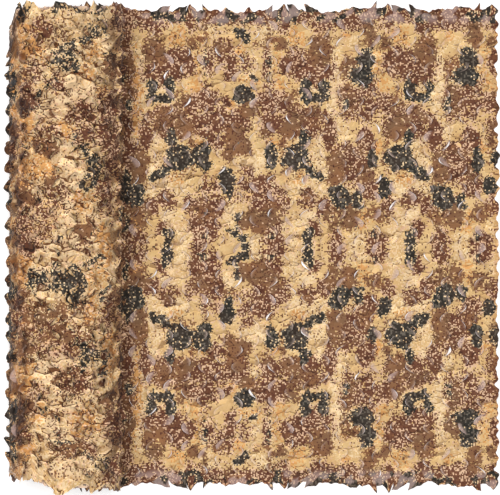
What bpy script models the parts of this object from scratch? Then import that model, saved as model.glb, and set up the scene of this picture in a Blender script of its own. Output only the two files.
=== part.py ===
"""Leaf-cut netting: a bulk roll lying on its side, with a length of the net pulled out flat.

The origin is the middle of the roll's flat spot.  +X runs along the pulled-out length, +Y along
the roll's axis and +Z up.  All sizes are in metres, and angles are in radians.
"""

import math
import random

import bmesh
import bpy
from mathutils import Vector, noise

# The cloth
NET_WIDTH = 1.500
CLOTH = 0.0020
CLEARANCE = 0.0005

# The wound roll
ROLL_RADIUS = 0.170
TURN_DEPTH = 0.009
FLAT_HALF_WIDTH = 0.035
WIDENING = 0.025
ROLL_SWELL = 0.004
ROLL_SWELLS_PER_METRE = 3.2
SECTION_POINTS = 24
ROLL_LIP = 0.011
PRESSED_BELOW = 0.020
FREE_ABOVE = 0.060

# The pulled-out length
LENGTH_START = FLAT_HALF_WIDTH + CLEARANCE
LENGTH_END = 1.350
LENGTH_COLUMNS = 25
LENGTH_LIP = 0.013
LIE_SWELL = 0.003
LIE_SWELLS_PER_METRE = 9.0
LOW_UNTIL = 0.110
FREE_FROM = 0.300
LOW_LIP_SHARE = 0.5

# The leaf cuts: each runs along two rows of the grid, and the next one starts two rows on
ROWS = 72
ROWS_PER_CUT = 4
CUT_OPENING = 0.0095
CUT_LEAN = 0.007
CUT_SPREAD = 0.30
LEAN_SPREAD = 0.50

# The cut edges of the cloth: a tooth's three points along the length, and two round the roll
TOOTH_HEIGHT = 0.018
TOOTH_LEAN = 0.011
LENGTH_TOOTH = (
    {"out": -0.30, "lean": 0.0},
    {"out": 0.15, "lean": 0.4},
    {"out": 1.00, "lean": 1.0},
)
ROLL_TOOTH = (0.6, -0.4)
TOOTH_SPREAD = 0.35
SCALLOP_PITCH = 0.053
SCALLOP_DEPTH = 0.013
FLANK_RECESS = 0.030
FLANK_RECESS_WIDTH = 0.070
FLANK_RECESS_RUN = 0.250

# Low waves across the length: crest height, distance between crests, shift and skew
WAVES = (
    {"height": 0.0045, "spacing": 0.262, "shift": 0.05, "skew": 0.06},
    {"height": 0.0030, "spacing": 0.171, "shift": 0.11, "skew": -0.10},
)

# Turns that show on the roll's ends: share of the outer radius, and how far each is drawn in.
# Each ring follows the outer one's unevenness by a part, and the eye lies deepest.
END_TURNS = (
    {"share": 0.93, "drawn_in": 0.017},
    {"share": 0.80, "drawn_in": 0.002},
    {"share": 0.66, "drawn_in": 0.018},
    {"share": 0.52, "drawn_in": 0.003},
    {"share": 0.36, "drawn_in": 0.019},
    {"share": 0.12, "drawn_in": 0.006},
)
END_FOLLOW = 0.35
EYE_DEPTH = 0.030

SAND_LENGTH = (0.386, 0.235, 0.130)
SAND_ROLL = (0.418, 0.262, 0.144)
CLOTH_ROUGHNESS = 0.85


def clear_scene():
    """Remove every object of the scene."""
    for obj in list(bpy.data.objects):
        bpy.data.objects.remove(obj, do_unlink=True)


def between(low, high, share):
    """The value that lies a share of the way from low to high."""
    return low + (high - low) * share


def ease(low, high, value):
    """Smooth step: 0 up to low, 1 from high."""
    share = min(max((value - low) / (high - low), 0.0), 1.0)
    return share * share * (3.0 - 2.0 * share)


def varied(column, row, spread):
    """A factor about 1, the same each time for one place in the grid."""
    dice = random.Random(1009 * int(column) + int(row))
    return dice.uniform(1.0 - spread, 1.0 + spread)


def is_cut_middle(column, row):
    """True where a leaf cut has its middle, on every other column, in staggered rows."""
    if column % 2 == 0 or not 1 < row < ROWS - 1:
        return False
    stagger = ROWS_PER_CUT // 2 * (column // 2 % 2)
    return (row + stagger) % ROWS_PER_CUT == ROWS_PER_CUT // 2


def leaf_side(column, row):
    """The side of a cut on which its leaf stands up, -1 or 1, in turn along each column."""
    return 1 if (row // ROWS_PER_CUT + column // 2) % 2 else -1


def end_edges(bm):
    """The edges of a flat grid, one unit wide, along its first and last rows."""
    return [edge for edge in bm.edges if all(abs(vert.co.y) > 0.499 for vert in edge.verts)]


def new_object(name, bm, colour, collection):
    """Put a mesh in the collection as an object with its own cloth material."""
    mesh = bpy.data.meshes.new(name)
    bm.to_mesh(mesh)
    bm.free()
    obj = bpy.data.objects.new(name, mesh)
    collection.objects.link(obj)
    material = bpy.data.materials.new(name + "_cloth")
    material.use_nodes = True
    shader = material.node_tree.nodes["Principled BSDF"]
    shader.inputs["Base Color"].default_value = (*colour, 1.0)
    shader.inputs["Roughness"].default_value = CLOTH_ROUGHNESS
    shader.inputs["Metallic"].default_value = 0.0
    mesh.materials.append(material)
    return obj


# ---------------------------------------------------------------- the pulled-out length


def wave_height(x, y):
    """Height of the cloth's middle over the surface, all low close to the roll."""
    height = 0.0
    for wave in WAVES:
        turn = 2.0 * math.pi * ((x + wave["skew"] * y) / wave["spacing"] + wave["shift"])
        height += wave["height"] * 0.5 * (1.0 + math.sin(turn))
    height += LIE_SWELL * (1.0 + noise.noise(Vector((x, y, 0.0)) * LIE_SWELLS_PER_METRE))
    return height * ease(LOW_UNTIL, FREE_FROM, x)


def cut_leaves(bm):
    """Split the grid open along each leaf cut."""
    cuts = []
    for edge in bm.edges:
        start, end = (vert.co for vert in edge.verts)
        column = round((start.x + 0.5) * LENGTH_COLUMNS)
        rows = [round((point.y + 0.5) * ROWS) for point in (start, end)]
        if rows[0] != rows[1] and any(is_cut_middle(column, row) for row in rows):
            cuts.append(edge)
    bmesh.ops.split_edges(bm, edges=cuts)


def side_of_cut(vert):
    """-1 or 1 for a point whose faces all lie on one side of it, in the flat grid."""
    middle = sum((face.calc_center_median().x for face in vert.link_faces), 0.0)
    return 1 if middle / len(vert.link_faces) > vert.co.x else -1


def tooth(column, row):
    """How far a point on the cut edge stands out, and how far it leans along the edge."""
    form = LENGTH_TOOTH[round(column * len(LENGTH_TOOTH)) % len(LENGTH_TOOTH)]
    size = varied(round(column), row, TOOTH_SPREAD)
    return form["out"] * TOOTH_HEIGHT * size, form["lean"] * TOOTH_LEAN * size


def place_on_length(flat, side):
    """Where a point of the flat grid lies in the pulled-out length."""
    place = (flat.x + 0.5) * LENGTH_COLUMNS
    column = round(place)
    row = round((flat.y + 0.5) * ROWS)
    x = between(LENGTH_START, LENGTH_END, flat.x + 0.5)
    y = flat.y * NET_WIDTH
    z = CLOTH / 2.0 + wave_height(x, y)
    free = ease(LENGTH_START, LOW_UNTIL, x)
    if row in (0, ROWS):
        end = 1 if row else -1
        out, lean = tooth(place, row)
        x += lean * end * free
        y += out * end
    if column == LENGTH_COLUMNS and abs(place - column) < 0.1:
        wave = abs(math.sin(math.pi * y / SCALLOP_PITCH))
        x += SCALLOP_DEPTH * wave * varied(column, row // 3, TOOTH_SPREAD)
    if is_cut_middle(column, row):
        size = varied(column, row, CUT_SPREAD)
        x += side * CUT_OPENING / 2.0 * max(size, 1.0 - CUT_SPREAD / 2.0)
        if side == leaf_side(column, row):
            z += LENGTH_LIP * size * between(LOW_LIP_SHARE, 1.0, free)
    elif is_cut_middle(column, row - 1):
        x += CUT_LEAN * varied(column, row, LEAN_SPREAD)
    elif is_cut_middle(column, row + 1):
        x -= CUT_LEAN * varied(column, row, LEAN_SPREAD)
    return Vector((x, y, z))


def make_length(collection):
    """The sheet that lies flat: cut open, placed, and given the cloth's thickness."""
    bm = bmesh.new()
    bmesh.ops.create_grid(bm, x_segments=LENGTH_COLUMNS, y_segments=ROWS, size=0.5)
    cut_leaves(bm)
    bmesh.ops.subdivide_edges(bm, edges=end_edges(bm), cuts=len(LENGTH_TOOTH) - 1)
    placed = [(vert, place_on_length(vert.co, side_of_cut(vert))) for vert in bm.verts]
    for vert, point in placed:
        vert.co = point
    bmesh.ops.triangulate(bm, faces=bm.faces[:], quad_method="SHORT_EDGE")
    obj = new_object("net_length", bm, SAND_LENGTH, collection)
    cloth = obj.modifiers.new("cloth", "SOLIDIFY")
    cloth.thickness = CLOTH
    cloth.offset = 0.0
    return obj


# ---------------------------------------------------------------- the wound roll


def section_point(column):
    """A corner of the roll's cross-section, from the step where the length leaves, round the
    right side, the top and the left side to the flat spot."""
    if column == SECTION_POINTS - 1:
        return Vector((FLAT_HALF_WIDTH, 0.0, 0.0))
    share = column / (SECTION_POINTS - 2)
    sag = ROLL_RADIUS - math.sqrt(ROLL_RADIUS**2 - FLAT_HALF_WIDTH**2)
    first = math.asin(FLAT_HALF_WIDTH / (ROLL_RADIUS - TURN_DEPTH))
    last = 2.0 * math.pi - math.asin(FLAT_HALF_WIDTH / ROLL_RADIUS)
    angle = between(first, last, share)
    radius = ROLL_RADIUS - TURN_DEPTH * (1.0 - share)
    z = max(ROLL_RADIUS - sag - radius * math.cos(angle), 0.0)
    x = radius * math.sin(angle) * (1.0 + WIDENING * min(z / ROLL_RADIUS, 1.0))
    return Vector((x, 0.0, z))


def place_on_roll(column, row):
    """Where a point of the flat grid lies on the roll, with its leaf raised if it has one."""
    whole = math.floor(column) % SECTION_POINTS
    following = (whole + 1) % SECTION_POINTS
    point = section_point(whole).lerp(section_point(following), column - math.floor(column))
    y = (row / ROWS - 0.5) * NET_WIDTH
    outward = (point - Vector((0.0, 0.0, ROLL_RADIUS))).normalized()
    free = ease(PRESSED_BELOW, FREE_ABOVE, point.z)
    swell = noise.noise(Vector((point.x, y, point.z)) * ROLL_SWELLS_PER_METRE)
    point += outward * ROLL_SWELL * swell * free
    if is_cut_middle(whole, row):
        point += outward * ROLL_LIP * varied(whole, row, CUT_SPREAD) * free
    into_end = ease(-NET_WIDTH / 2.0, -NET_WIDTH / 2.0 + FLANK_RECESS_RUN, y)
    on_flank = ease(0.0, FLANK_RECESS_WIDTH, FLANK_RECESS_WIDTH - ROLL_RADIUS - point.x)
    point.y = y + FLANK_RECESS * on_flank * (1.0 - into_end)
    if row in (0, ROWS):
        end = 1 if row else -1
        step = round(column * len(ROLL_TOOTH))
        out = ROLL_TOOTH[step % len(ROLL_TOOTH)] * TOOTH_HEIGHT
        point.y += end * out * varied(step, row, TOOTH_SPREAD) * free
    return point


def close_end(bm, end):
    """Close one end of the roll, with its turns standing in and out."""
    rim = [edge for edge in bm.edges if edge.is_boundary and edge.verts[0].co.y * end > 0.0]
    middle = Vector((0.0, end * NET_WIDTH / 2.0, ROLL_RADIUS))
    share_before = 1.0
    drawn_before = 0.0
    for turn in END_TURNS:
        made = bmesh.ops.extrude_edge_only(bm, edges=rim)["geom"]
        rim = [item for item in made if isinstance(item, bmesh.types.BMEdge)]
        ring = [item for item in made if isinstance(item, bmesh.types.BMVert)]
        for vert in ring:
            away = vert.co - middle
            scale = turn["share"] / share_before
            level = END_FOLLOW * (away.y + end * drawn_before) - end * turn["drawn_in"]
            vert.co = middle + Vector((away.x * scale, level, away.z * scale))
        share_before = turn["share"]
        drawn_before = turn["drawn_in"]
    bmesh.ops.pointmerge(bm, verts=ring, merge_co=middle - Vector((0.0, end * EYE_DEPTH, 0.0)))


def make_roll(collection):
    """The wound cloth as one solid."""
    bm = bmesh.new()
    bmesh.ops.create_grid(bm, x_segments=SECTION_POINTS, y_segments=ROWS, size=0.5)
    bmesh.ops.subdivide_edges(bm, edges=end_edges(bm), cuts=len(ROLL_TOOTH) - 1)
    for vert in bm.verts:
        step = round((vert.co.x + 0.5) * SECTION_POINTS * len(ROLL_TOOTH))
        vert.co = place_on_roll(step / len(ROLL_TOOTH), round((vert.co.y + 0.5) * ROWS))
    bmesh.ops.remove_doubles(bm, verts=bm.verts[:], dist=0.00001)
    for end in (-1, 1):
        close_end(bm, end)
    bmesh.ops.triangulate(bm, faces=bm.faces[:], quad_method="SHORT_EDGE")
    bmesh.ops.recalc_face_normals(bm, faces=bm.faces[:])
    return new_object("net_roll", bm, SAND_ROLL, collection)


def main():
    """Build the roll and the pulled-out length."""
    clear_scene()
    collection = bpy.data.collections.new("camouflage_netting")
    bpy.context.scene.collection.children.link(collection)
    make_roll(collection)
    make_length(collection)


main()
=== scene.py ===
"""Camouflage netting: a part-used bulk roll of leaf-cut cloth, with a length pulled out flat.

The cloth is one printed sheet in three lengths that follow on from each other: the length that
lies flat, the roll's outer turn, and the turns inside it.  Everything is in metres, in the
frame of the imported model: the origin is the middle of the roll's flat spot, +X runs along the
pulled-out length and +Y along the roll.
"""

import math
import random

import bmesh
import bpy
import numpy as np
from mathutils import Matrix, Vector, noise


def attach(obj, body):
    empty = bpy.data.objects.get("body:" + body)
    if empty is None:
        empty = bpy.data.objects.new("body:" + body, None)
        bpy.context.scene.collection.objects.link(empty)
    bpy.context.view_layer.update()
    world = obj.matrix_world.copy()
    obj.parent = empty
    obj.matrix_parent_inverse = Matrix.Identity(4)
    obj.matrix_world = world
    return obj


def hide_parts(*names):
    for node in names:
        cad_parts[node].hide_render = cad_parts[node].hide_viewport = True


bl_info = {
    "name": "Camouflage Netting",
    "version": (1, 0, 0),
    "blender": (4, 5, 0),
    "location": "View3D > Sidebar > Netting",
    "description": "Builds a bulk roll of leaf-cut camouflage netting with a length pulled out",
    "category": "Object",
}

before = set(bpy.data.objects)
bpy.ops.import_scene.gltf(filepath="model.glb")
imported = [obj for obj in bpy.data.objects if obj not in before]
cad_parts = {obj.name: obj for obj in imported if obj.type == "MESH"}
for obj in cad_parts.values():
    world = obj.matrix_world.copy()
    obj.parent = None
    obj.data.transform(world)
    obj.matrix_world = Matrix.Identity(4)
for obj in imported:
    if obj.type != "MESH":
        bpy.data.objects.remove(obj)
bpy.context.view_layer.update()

# One step of the chart in which the print and the cut edges are laid out: a pixel of the
# photograph, in metres.  The chart's origin is the photograph's top left corner.
STEP = 0.00314
PHOTO_WIDTH = 500.0
PHOTO_MIDDLE_COLUMN = 250.0
PHOTO_MIDDLE_ROW = 247.5
CHART_COLUMN_AT_ORIGIN = 63.5
CHART_ROW_AT_ORIGIN = 247.0
MIRROR_COLUMN = 237.5
REPEAT_START = 290.0
REPEAT_STEPS = 104.0
FOLD_CLEAR = 27.0
FOLD_FADE = 7.0
FOLD_X = (MIRROR_COLUMN - CHART_COLUMN_AT_ORIGIN) * STEP

# The cloth's grid: the rows across the net's width, the columns of a leaf, and on the
# pulled-out length the columns by the roll and the whole leaves after them
CLOTH_ROWS = 278
LEAF_COLUMNS = 12
PART_COLUMNS = 5
WHOLE_LEAVES = 24
LAID_LENGTH = 1.327
CLOTH_LOWEST = 0.0006
SPLIT_GAP = 0.0008

# The leaf cuts, in rows and columns of the cloth's grid
LEAVES_IN_REPEAT = 6
LEAF_PITCH = REPEAT_STEPS / LEAVES_IN_REPEAT * STEP
CUT_SLANT = (0.005, 0.015)
CUT_ARCH = (1.4, 2.4)
CUT_SWING = (0.7, 1.2)
LEAF_SKEW = 0.7
FOLDED_OVER = 2.7
HANGING_FROM = 0.125
HANGING_ROWS = 9
HANGING_PITCH = 11
HANGING_SLANT = 0.4
RIM_WIDTH = 0.008
RIM_MOST = 0.72
SLIT_WIDTH = 0.008
PULL_WIDTH = 0.008
EDGE_CUT_ROWS = 4
FRAYED_ROWS = 2.0

# Each cloth's cuts: the rows of a cut and from one to the next, the share of leaves that turn
# over, the radii that leaves bend to, and how far the cloth is pulled at a cut
LENGTH_LEAVES = {
    "seed": 11,
    "rows": 7,
    "pitch": 10,
    "turned": 0.14,
    "tight": (0.018, 0.028),
    "loose": (0.040, 0.100),
    "pull": 0.001,
}
TURN_LEAVES = {
    "seed": 23,
    "rows": 6,
    "pitch": 8,
    "turned": 0.01,
    "hanging": (0.016, 0.022),
    "tight": (0.015, 0.022),
    "loose": (0.030, 0.060),
    "pull": 0.006,
}

# The leaves' small facets: how wide and tall, how they are turned and scattered, how high they
# tilt, how much one differs from the next in print, the painted highlight on a leaf's raised
# edge, and where and how often a painted shadow lies in the open gap below it
LEAF_WIDE = 0.050
LEAF_TALL = 0.034
LEAF_TURN = 0.35
LEAF_SCATTER = 0.85
LEAF_FACING = (0.6, -0.8, 0.0)
LEAF_BROW = 0.16
LEAF_HEIGHT = 0.030
LEAF_CONTRAST = 0.44
LEAF_EDGE_HIGHLIGHT = 1.35
BORDER_FADE = (0.28, 0.12)
CLEFT_SHADOW_RARE = 0.42

# Painted shades that fade in from one value to another, and how strong they get: that of a whole
# leaf by its random value, and that below a leaf's brow
LEAF_DIM = (0.55, 1.0, 0.28)
LEAF_FALL = (0.02, 0.46, 0.40)

# The print's squares: size and seed of each of its two charts, in metres, how far their places
# are shaken, and how many clumps and worn areas they have
FINE_SQUARES = (0.0040, 0.0)
OTHER_SQUARES = (0.0049, 1.7)
WOBBLE = 0.0022
WOBBLES_PER_METRE = 260.0
CLUMPS_PER_METRE = 60.0
WORN_PER_METRE = 16.0
WORN_FADE = (0.35, 0.68)

# How much of a square's level is its own and how much is its clump's, by ink
CREAM_LEVEL = (1.0, 0.3)
OCHRE_LEVEL = (1.0, 0.6)
BROWN_LEVEL = (0.80, 1.0)
BLACK_LEVEL = (0.58, 0.7)

# The cream squares in the ground, how full the two inks of the speckle are for its cover and
# the densest that it gets, and the shares of stray squares in the solid inks
GROUND_CREAM = 0.45
BLUSH_FULL = 1.25
SPECKLE_FULL = 1.28
SPECKLE_MOST = 0.76
SPECKLE_BROWN = 0.5
STRAY_RED = 0.12
STRAY_PALE = 0.03
STRAY_GREY = 0.28

# Cream dots where there is some black: from which cover, and how rare
DOTS_AROUND = 0.10
DOTS_FEWER = 0.17
DOTS_RARE = 0.76

# Creases and weave, the painted shade of the hollows and slits, and how much shows of the painted
# highlight on the rims, of the turned leaves and of the cloth's reverse
FOLDS_PER_METRE = 42.0
CREASE_DEPTH = 0.006
WEAVE_PER_METRE = 700.0
WEAVE_STRENGTH = 0.12
WEAVE_DEPTH = 0.0003
HOLLOW_FADE = (0.54, 0.36, 0.45)
HOLLOW_SHADE = (0.62, 0.38, 0.23)
SLIT_SHADE = (0.22, 0.13, 0.08)
RIM_SHOWS = 0.9
TURNED_SHOWS = 0.6
REVERSE_SHOWS = 0.8

# Spacing of the material's nodes in the editor
NODE_COLUMN = 200
NODE_ROW = 180

# The roll's section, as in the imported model, and its wound line
SPOT = 0.035
TURN_DEPTH = 0.009
WIDENING = 0.025
STOPS_IN_TURN = 72
SMALLEST_TURN = 0.012
OFF_THE_FLOOR = (0.012, 0.060)

# How far the roll's two ends stand back at places across it, and how deep along the roll
NEAR_RECESS = {
    "at": (-0.190, -0.170, -0.152, -0.104, -0.097, -0.074, -0.040, -0.011, 0.020),
    "back": (0.075, 0.050, 0.028, 0.031, 0.040, 0.012, 0.0, -0.010, 0.0),
}
FAR_RECESS = {"at": (-0.187, -0.172, -0.158, -0.147), "back": (0.110, 0.085, 0.055, 0.0)}
RECESS_LONG = 0.250

# Where the roll's flanks start and are full, by the distance from its middle
BOTH_FLANKS = (0.100, 0.160)
RIGHT_FLANK = (0.100, 0.165)
LEFT_FLANK = (-0.120, -0.165)
LEFT_SHOULDER = (-0.090, -0.125)
LEFT_SHADED = (-0.082, -0.130)
LEFT_SIDE = (-0.135, -0.160)

# Relief of the outer turn, in metres, and how much its leaves tilt
TURN_ROUGH = 0.006
TURN_SWELL = 0.004
NIP_SWELL = 0.011
LEFT_DRAWN_IN = 0.005
TURN_TILT = 0.42
TURN_STEP = 0.0025
HOLLOW_ROUGH = 0.005
TURN_WANDER = 0.004
TURN_CRUMPLE = 0.0055
TURN_CREASE = 0.0020
TURN_FRAY = 0.010

# The inner turns: how many at most, their columns and their teeth.  INNER_ROWS is how far each
# row of their grid is from a cut end, in shares of half the width
INNER_TURNS = 18
INNER_COLUMN = 0.022
INNER_TEETH = (-0.014, 0.012)
INNER_CURL = (-0.004, 0.008)
INNER_BACK = 0.006
INNER_RUFFLE = 0.5
INNER_ROWS = (1.0, 0.86, 0.72, 0.58, 0.45, 0.33, 0.22, 0.13, 0.07, 0.035, 0.012, 0.0)

# Where things fade on the pulled-out length, by the distance from the roll's middle: the bend of
# its leaves, their rims and the painted shade by the roll; and by the distance from a cut edge:
# the turned and darker band, and the painted shade of the edge itself
BEND_FADE = (0.22, 0.30)
RIM_FADE = (0.20, 0.27)
ROLL_SHADE = (0.240, 0.205)
SIDE_BAND = (0.058, 0.030)
CUT_SHADE = (0.030, 0.0)

# Relief of the pulled-out length, in metres, how much its leaves tilt, and the net's narrow
# place along it
LENGTH_TILT = 0.16
LENGTH_WANDER = 0.0045
LENGTH_CRUMPLE = 0.0038
LENGTH_CREASE = 0.0016
LENGTH_FRAY = 0.009
LENGTH_RUFFLE = 0.55
WAIST_AT = 0.53
WAIST_LONG = 0.17
WAIST_DEPTH = 0.010

# The scallops of the free end
SCALLOP_PITCH = 0.053
SCALLOPED_COLUMNS = 5.0
SCALLOP_REACH = 0.008
SCALLOP_BACK = 0.006
SCALLOP_RAGGED = 0.011
SCALLOP_LIFT = 0.006

# Low waves across the length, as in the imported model
WAVES = (
    {"height": 0.0045, "spacing": 0.262, "shift": 0.05, "skew": 0.06},
    {"height": 0.0030, "spacing": 0.171, "shift": 0.11, "skew": -0.10},
)
LIE_SWELL = 0.003
LOW_UNTIL = 0.110
FREE_FROM = 0.300

# Smooth random fields: where the noise starts, then for each field how many waves it has in a
# metre, or in a chart step for the two outlines, and its own place in the noise
FIELD_SEED = 5
FIELDS = {
    "lie": (9.0, 0),
    "length_wander": (11.0, 3),
    "length_crumple": (34.0, 4),
    "length_ragged": (60.0, 5),
    "length_creases": (80.0, 6),
    "length_fray": (85.0, 21),
    "turn_wander": (9.0, 8),
    "turn_rough": (22.0, 9),
    "turn_crumple": (45.0, 10),
    "turn_creases": (90.0, 13),
    "turn_fray": (85.0, 22),
    "inner_swell": (14.0, 12),
    "outline_wide": (0.11, 15),
    "outline_small": (0.27, 16),
}

# How far the outlines of the patches wander, in chart steps
RAGGED_WIDE = 3.6
RAGGED_SMALL = 2.2

# Patches of the repeat, mirrored along the net's middle: across and down from the repeat's
# corner, half width and half height, all in chart steps, then tilt in degrees and cover
REPEAT_PATCHES = {
    "cream": (
        (46, 88, 6, 38, 0, 0.7), (28, 135, 7, 14, 0, 0.6), (52, 135, 6, 14, 0, 0.5),
        (29, 165, 8, 12, 0, 0.6), (16, 190, 20, 12, 0, 0.6), (17, 215, 8, 10, 0, 0.8),
        (104, 232, 8, 17, 0, 0.5), (26, 86, 4, 5, 0, 0.8), (63, 42, 8, 6, 0, 0.4),
        (66, 240, 10, 9, 0, 0.4),
    ),
    "ochre": (
        (7, 38, 8, 11, 0, 0.6), (55, 34, 4, 4, 0, 0.9), (93, 62, 9, 12, 0, 0.55),
        (93, 85, 12, 6, 0, 0.55), (88, 146, 5, 6, 0, 0.9), (74, 222, 6, 12, 0, 0.5),
        (10, 180, 8, 5, 0, 0.5),
    ),
    "speckle": (
        (30, 21, 11, 10, 0, 0.75), (60, 19, 20, 9, 0, 0.85), (6, 62, 14, 13, 0, 0.92),
        (24, 72, 18, 11, 0, 0.75), (58, 102, 8, 18, 0, 0.6), (75, 106, 11, 18, 0, 0.58),
        (74, 92, 14, 8, 0, 0.6), (83, 105, 6, 5, 0, 0.9), (96, 102, 8, 9, 0, 0.8),
        (17, 115, 22, 9, 0, 0.62), (40, 135, 6, 15, 0, 0.85), (76, 140, 8, 11, 0, 0.9),
        (64, 166, 14, 16, 0, 0.78), (56, 150, 12, 9, 0, 0.55), (34, 207, 7, 8, 0, 0.85),
        (24, 228, 5, 8, 0, 0.7), (47, 240, 8, 10, 0, 0.6), (88, 241, 9, 9, 0, 0.85),
        (60, 202, 5, 8, 0, 0.5), (100, 128, 8, 9, 0, 0.6), (98, 22, 8, 9, 0, 0.5),
        (18, 129, 12, 10, 0, 0.7), (18, 198, 10, 9, 0, 0.6), (78, 188, 10, 9, 0, 0.8),
        (84, 82, 5, 8, 0, 0.3), (46, 190, 9, 6, 0, 0.35), (98, 205, 6, 10, 0, 0.6),
    ),
    "brown": (
        (31, 50, 11, 15, 0, 0.95), (80, 34, 7, 15, 0, 0.95), (95, 42, 6, 7, 0, 0.9),
        (59, 68, 9, 11, 0, 0.9), (58, 100, 7, 15, 0, 0.6), (2, 102, 7, 12, 0, 0.75),
        (18, 115, 18, 8, 0, 0.6), (2, 130, 9, 10, 0, 0.9), (98, 150, 5, 10, 0, 0.8),
        (46, 168, 9, 18, 0, 0.95), (78, 174, 7, 9, 0, 0.8), (18, 195, 5, 5, 0, 0.7),
        (44, 217, 7, 12, 0, 0.8), (58, 216, 10, 12, 0, 1.0), (86, 213, 10, 9, 0, 0.8),
        (66, 150, 8, 5, 0, 0.5), (30, 12, 10, 4, 0, 0.6), (6, 162, 16, 14, 0, 0.45),
        (74, 70, 12, 18, 0, 0.45),
    ),
    "black": (
        (4, 6, 6, 4, -20, 1.15), (22, 8, 6, 3, -20, 1.15), (91, 13, 4, 5, 0, 1.05),
        (76, 58, 8, 9, 0, 1.05), (72, 76, 11, 9, 0, 1.08), (15, 90, 5, 9, 0, 0.95),
        (24, 98, 12, 4, 0, 0.98), (34, 89, 4, 8, 0, 0.92), (55, 104, 3, 6, 0, 0.85),
        (15, 139, 5, 8, 0, 0.92), (6, 158, 12, 10, 0, 1.1), (24, 173, 11, 5, 25, 1.05),
        (83, 159, 5, 9, 0, 1.05), (46, 192, 7, 7, -15, 1.05), (50, 198, 8, 10, 0, 1.08),
        (67, 200, 5, 8, 0, 0.85), (95, 186, 6, 8, 0, 1.0), (17, 240, 5, 10, 0, 0.98),
        (84, 236, 3, 4, 0, 0.65),
    ),
}

# Patches that stand only by the fold of the repeat, at full chart columns. The speckle, brown and
# black ones at columns 122 to 128 lie in the valley by the roll and stand partly for print and
# partly for painted shade.
FOLD_PATCHES = {
    "cream": (
        (212, 32, 12, 9, 0, 0.4), (264, 30, 12, 9, 0, 0.6), (250, 66, 10, 16, 0, 0.4),
        (256, 124, 7, 6, 0, 0.6), (254, 162, 15, 11, 0, 0.7), (231, 214, 9, 9, 0, 0.7),
        (254, 243, 11, 7, 0, 0.5),
    ),
    "ochre": (
        (136, 100, 5, 40, 0, 0.9), (137, 222, 5, 24, 0, 0.9), (234, 52, 11, 8, 0, 0.6),
        (232, 104, 5, 8, 0, 0.7), (250, 80, 10, 7, 0, 0.4),
    ),
    "speckle": (
        (216, 15, 8, 6, 0, 0.7), (250, 14, 12, 6, 0, 0.75), (230, 68, 6, 13, 0, 0.95),
        (209, 62, 7, 12, 0, 0.6), (267, 62, 4, 18, 0, 0.7), (268, 102, 11, 12, 0, 0.8),
        (207, 102, 10, 12, 0, 0.7), (225, 102, 4, 4, 0, 0.9), (218, 120, 14, 10, 0, 0.75),
        (236, 126, 11, 14, 0, 0.9), (257, 184, 16, 8, 0, 0.85), (270, 124, 10, 10, 0, 0.75),
        (200, 124, 24, 11, 0, 0.6), (216, 140, 10, 8, 0, 0.6), (205, 226, 14, 15, 0, 0.85),
        (200, 206, 14, 8, 0, 0.55), (216, 206, 7, 9, 0, 0.8), (272, 232, 9, 15, 0, 0.65),
        (240, 196, 14, 8, 0, 0.3), (224, 50, 10, 12, 0, 0.5), (246, 62, 7, 10, 0, 0.45),
        (268, 198, 16, 14, 0, 0.75), (246, 169, 5, 4, 0, 0.7), (256, 200, 15, 6, 0, 0.3),
        (213, 190, 8, 10, 0, 0.5), (208, 222, 9, 18, 0, 0.8), (126, 60, 6, 60, 0, 0.9),
        (126, 150, 6, 50, 0, 0.8), (125, 240, 6, 60, 0, 0.8),
    ),
    "brown": (
        (232, 16, 8, 5, 0, 0.6), (220, 46, 7, 4, 0, 0.7), (260, 44, 8, 4, 0, 0.5),
        (248, 108, 9, 9, 0, 1.0), (236, 132, 8, 10, 0, 0.8), (238, 149, 15, 8, -15, 1.0),
        (233, 138, 7, 14, 0, 0.95), (164, 122, 9, 12, 0, 0.8), (228, 155, 8, 5, 0, 0.8),
        (230, 203, 6, 3, 0, 0.7), (208, 212, 9, 7, 0, 0.6), (257, 222, 13, 13, 0, 0.95),
        (242, 222, 4, 9, 0, 0.9), (266, 133, 8, 6, 0, 0.6), (123, 70, 7, 30, 0, 0.45),
        (122, 240, 6, 50, 0, 0.4),
    ),
    "black": (
        (242, 35, 9, 5, 35, 1.1), (245, 94, 9, 7, 0, 1.15), (254, 78, 3, 3, 0, 0.9),
        (227, 182, 6, 13, 0, 1.15), (235, 233, 6, 4, 20, 1.0), (237, 222, 3, 10, 0, 0.8),
        (243, 242, 3, 8, 0, 1.0), (202, 157, 8, 11, 0, 1.1), (272, 156, 6, 9, 0, 1.0),
        (127, 188, 6, 14, 0, 1.0), (128, 306, 6, 12, 0, 1.0), (124, 224, 5, 9, 0, 0.8),
    ),
}
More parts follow.
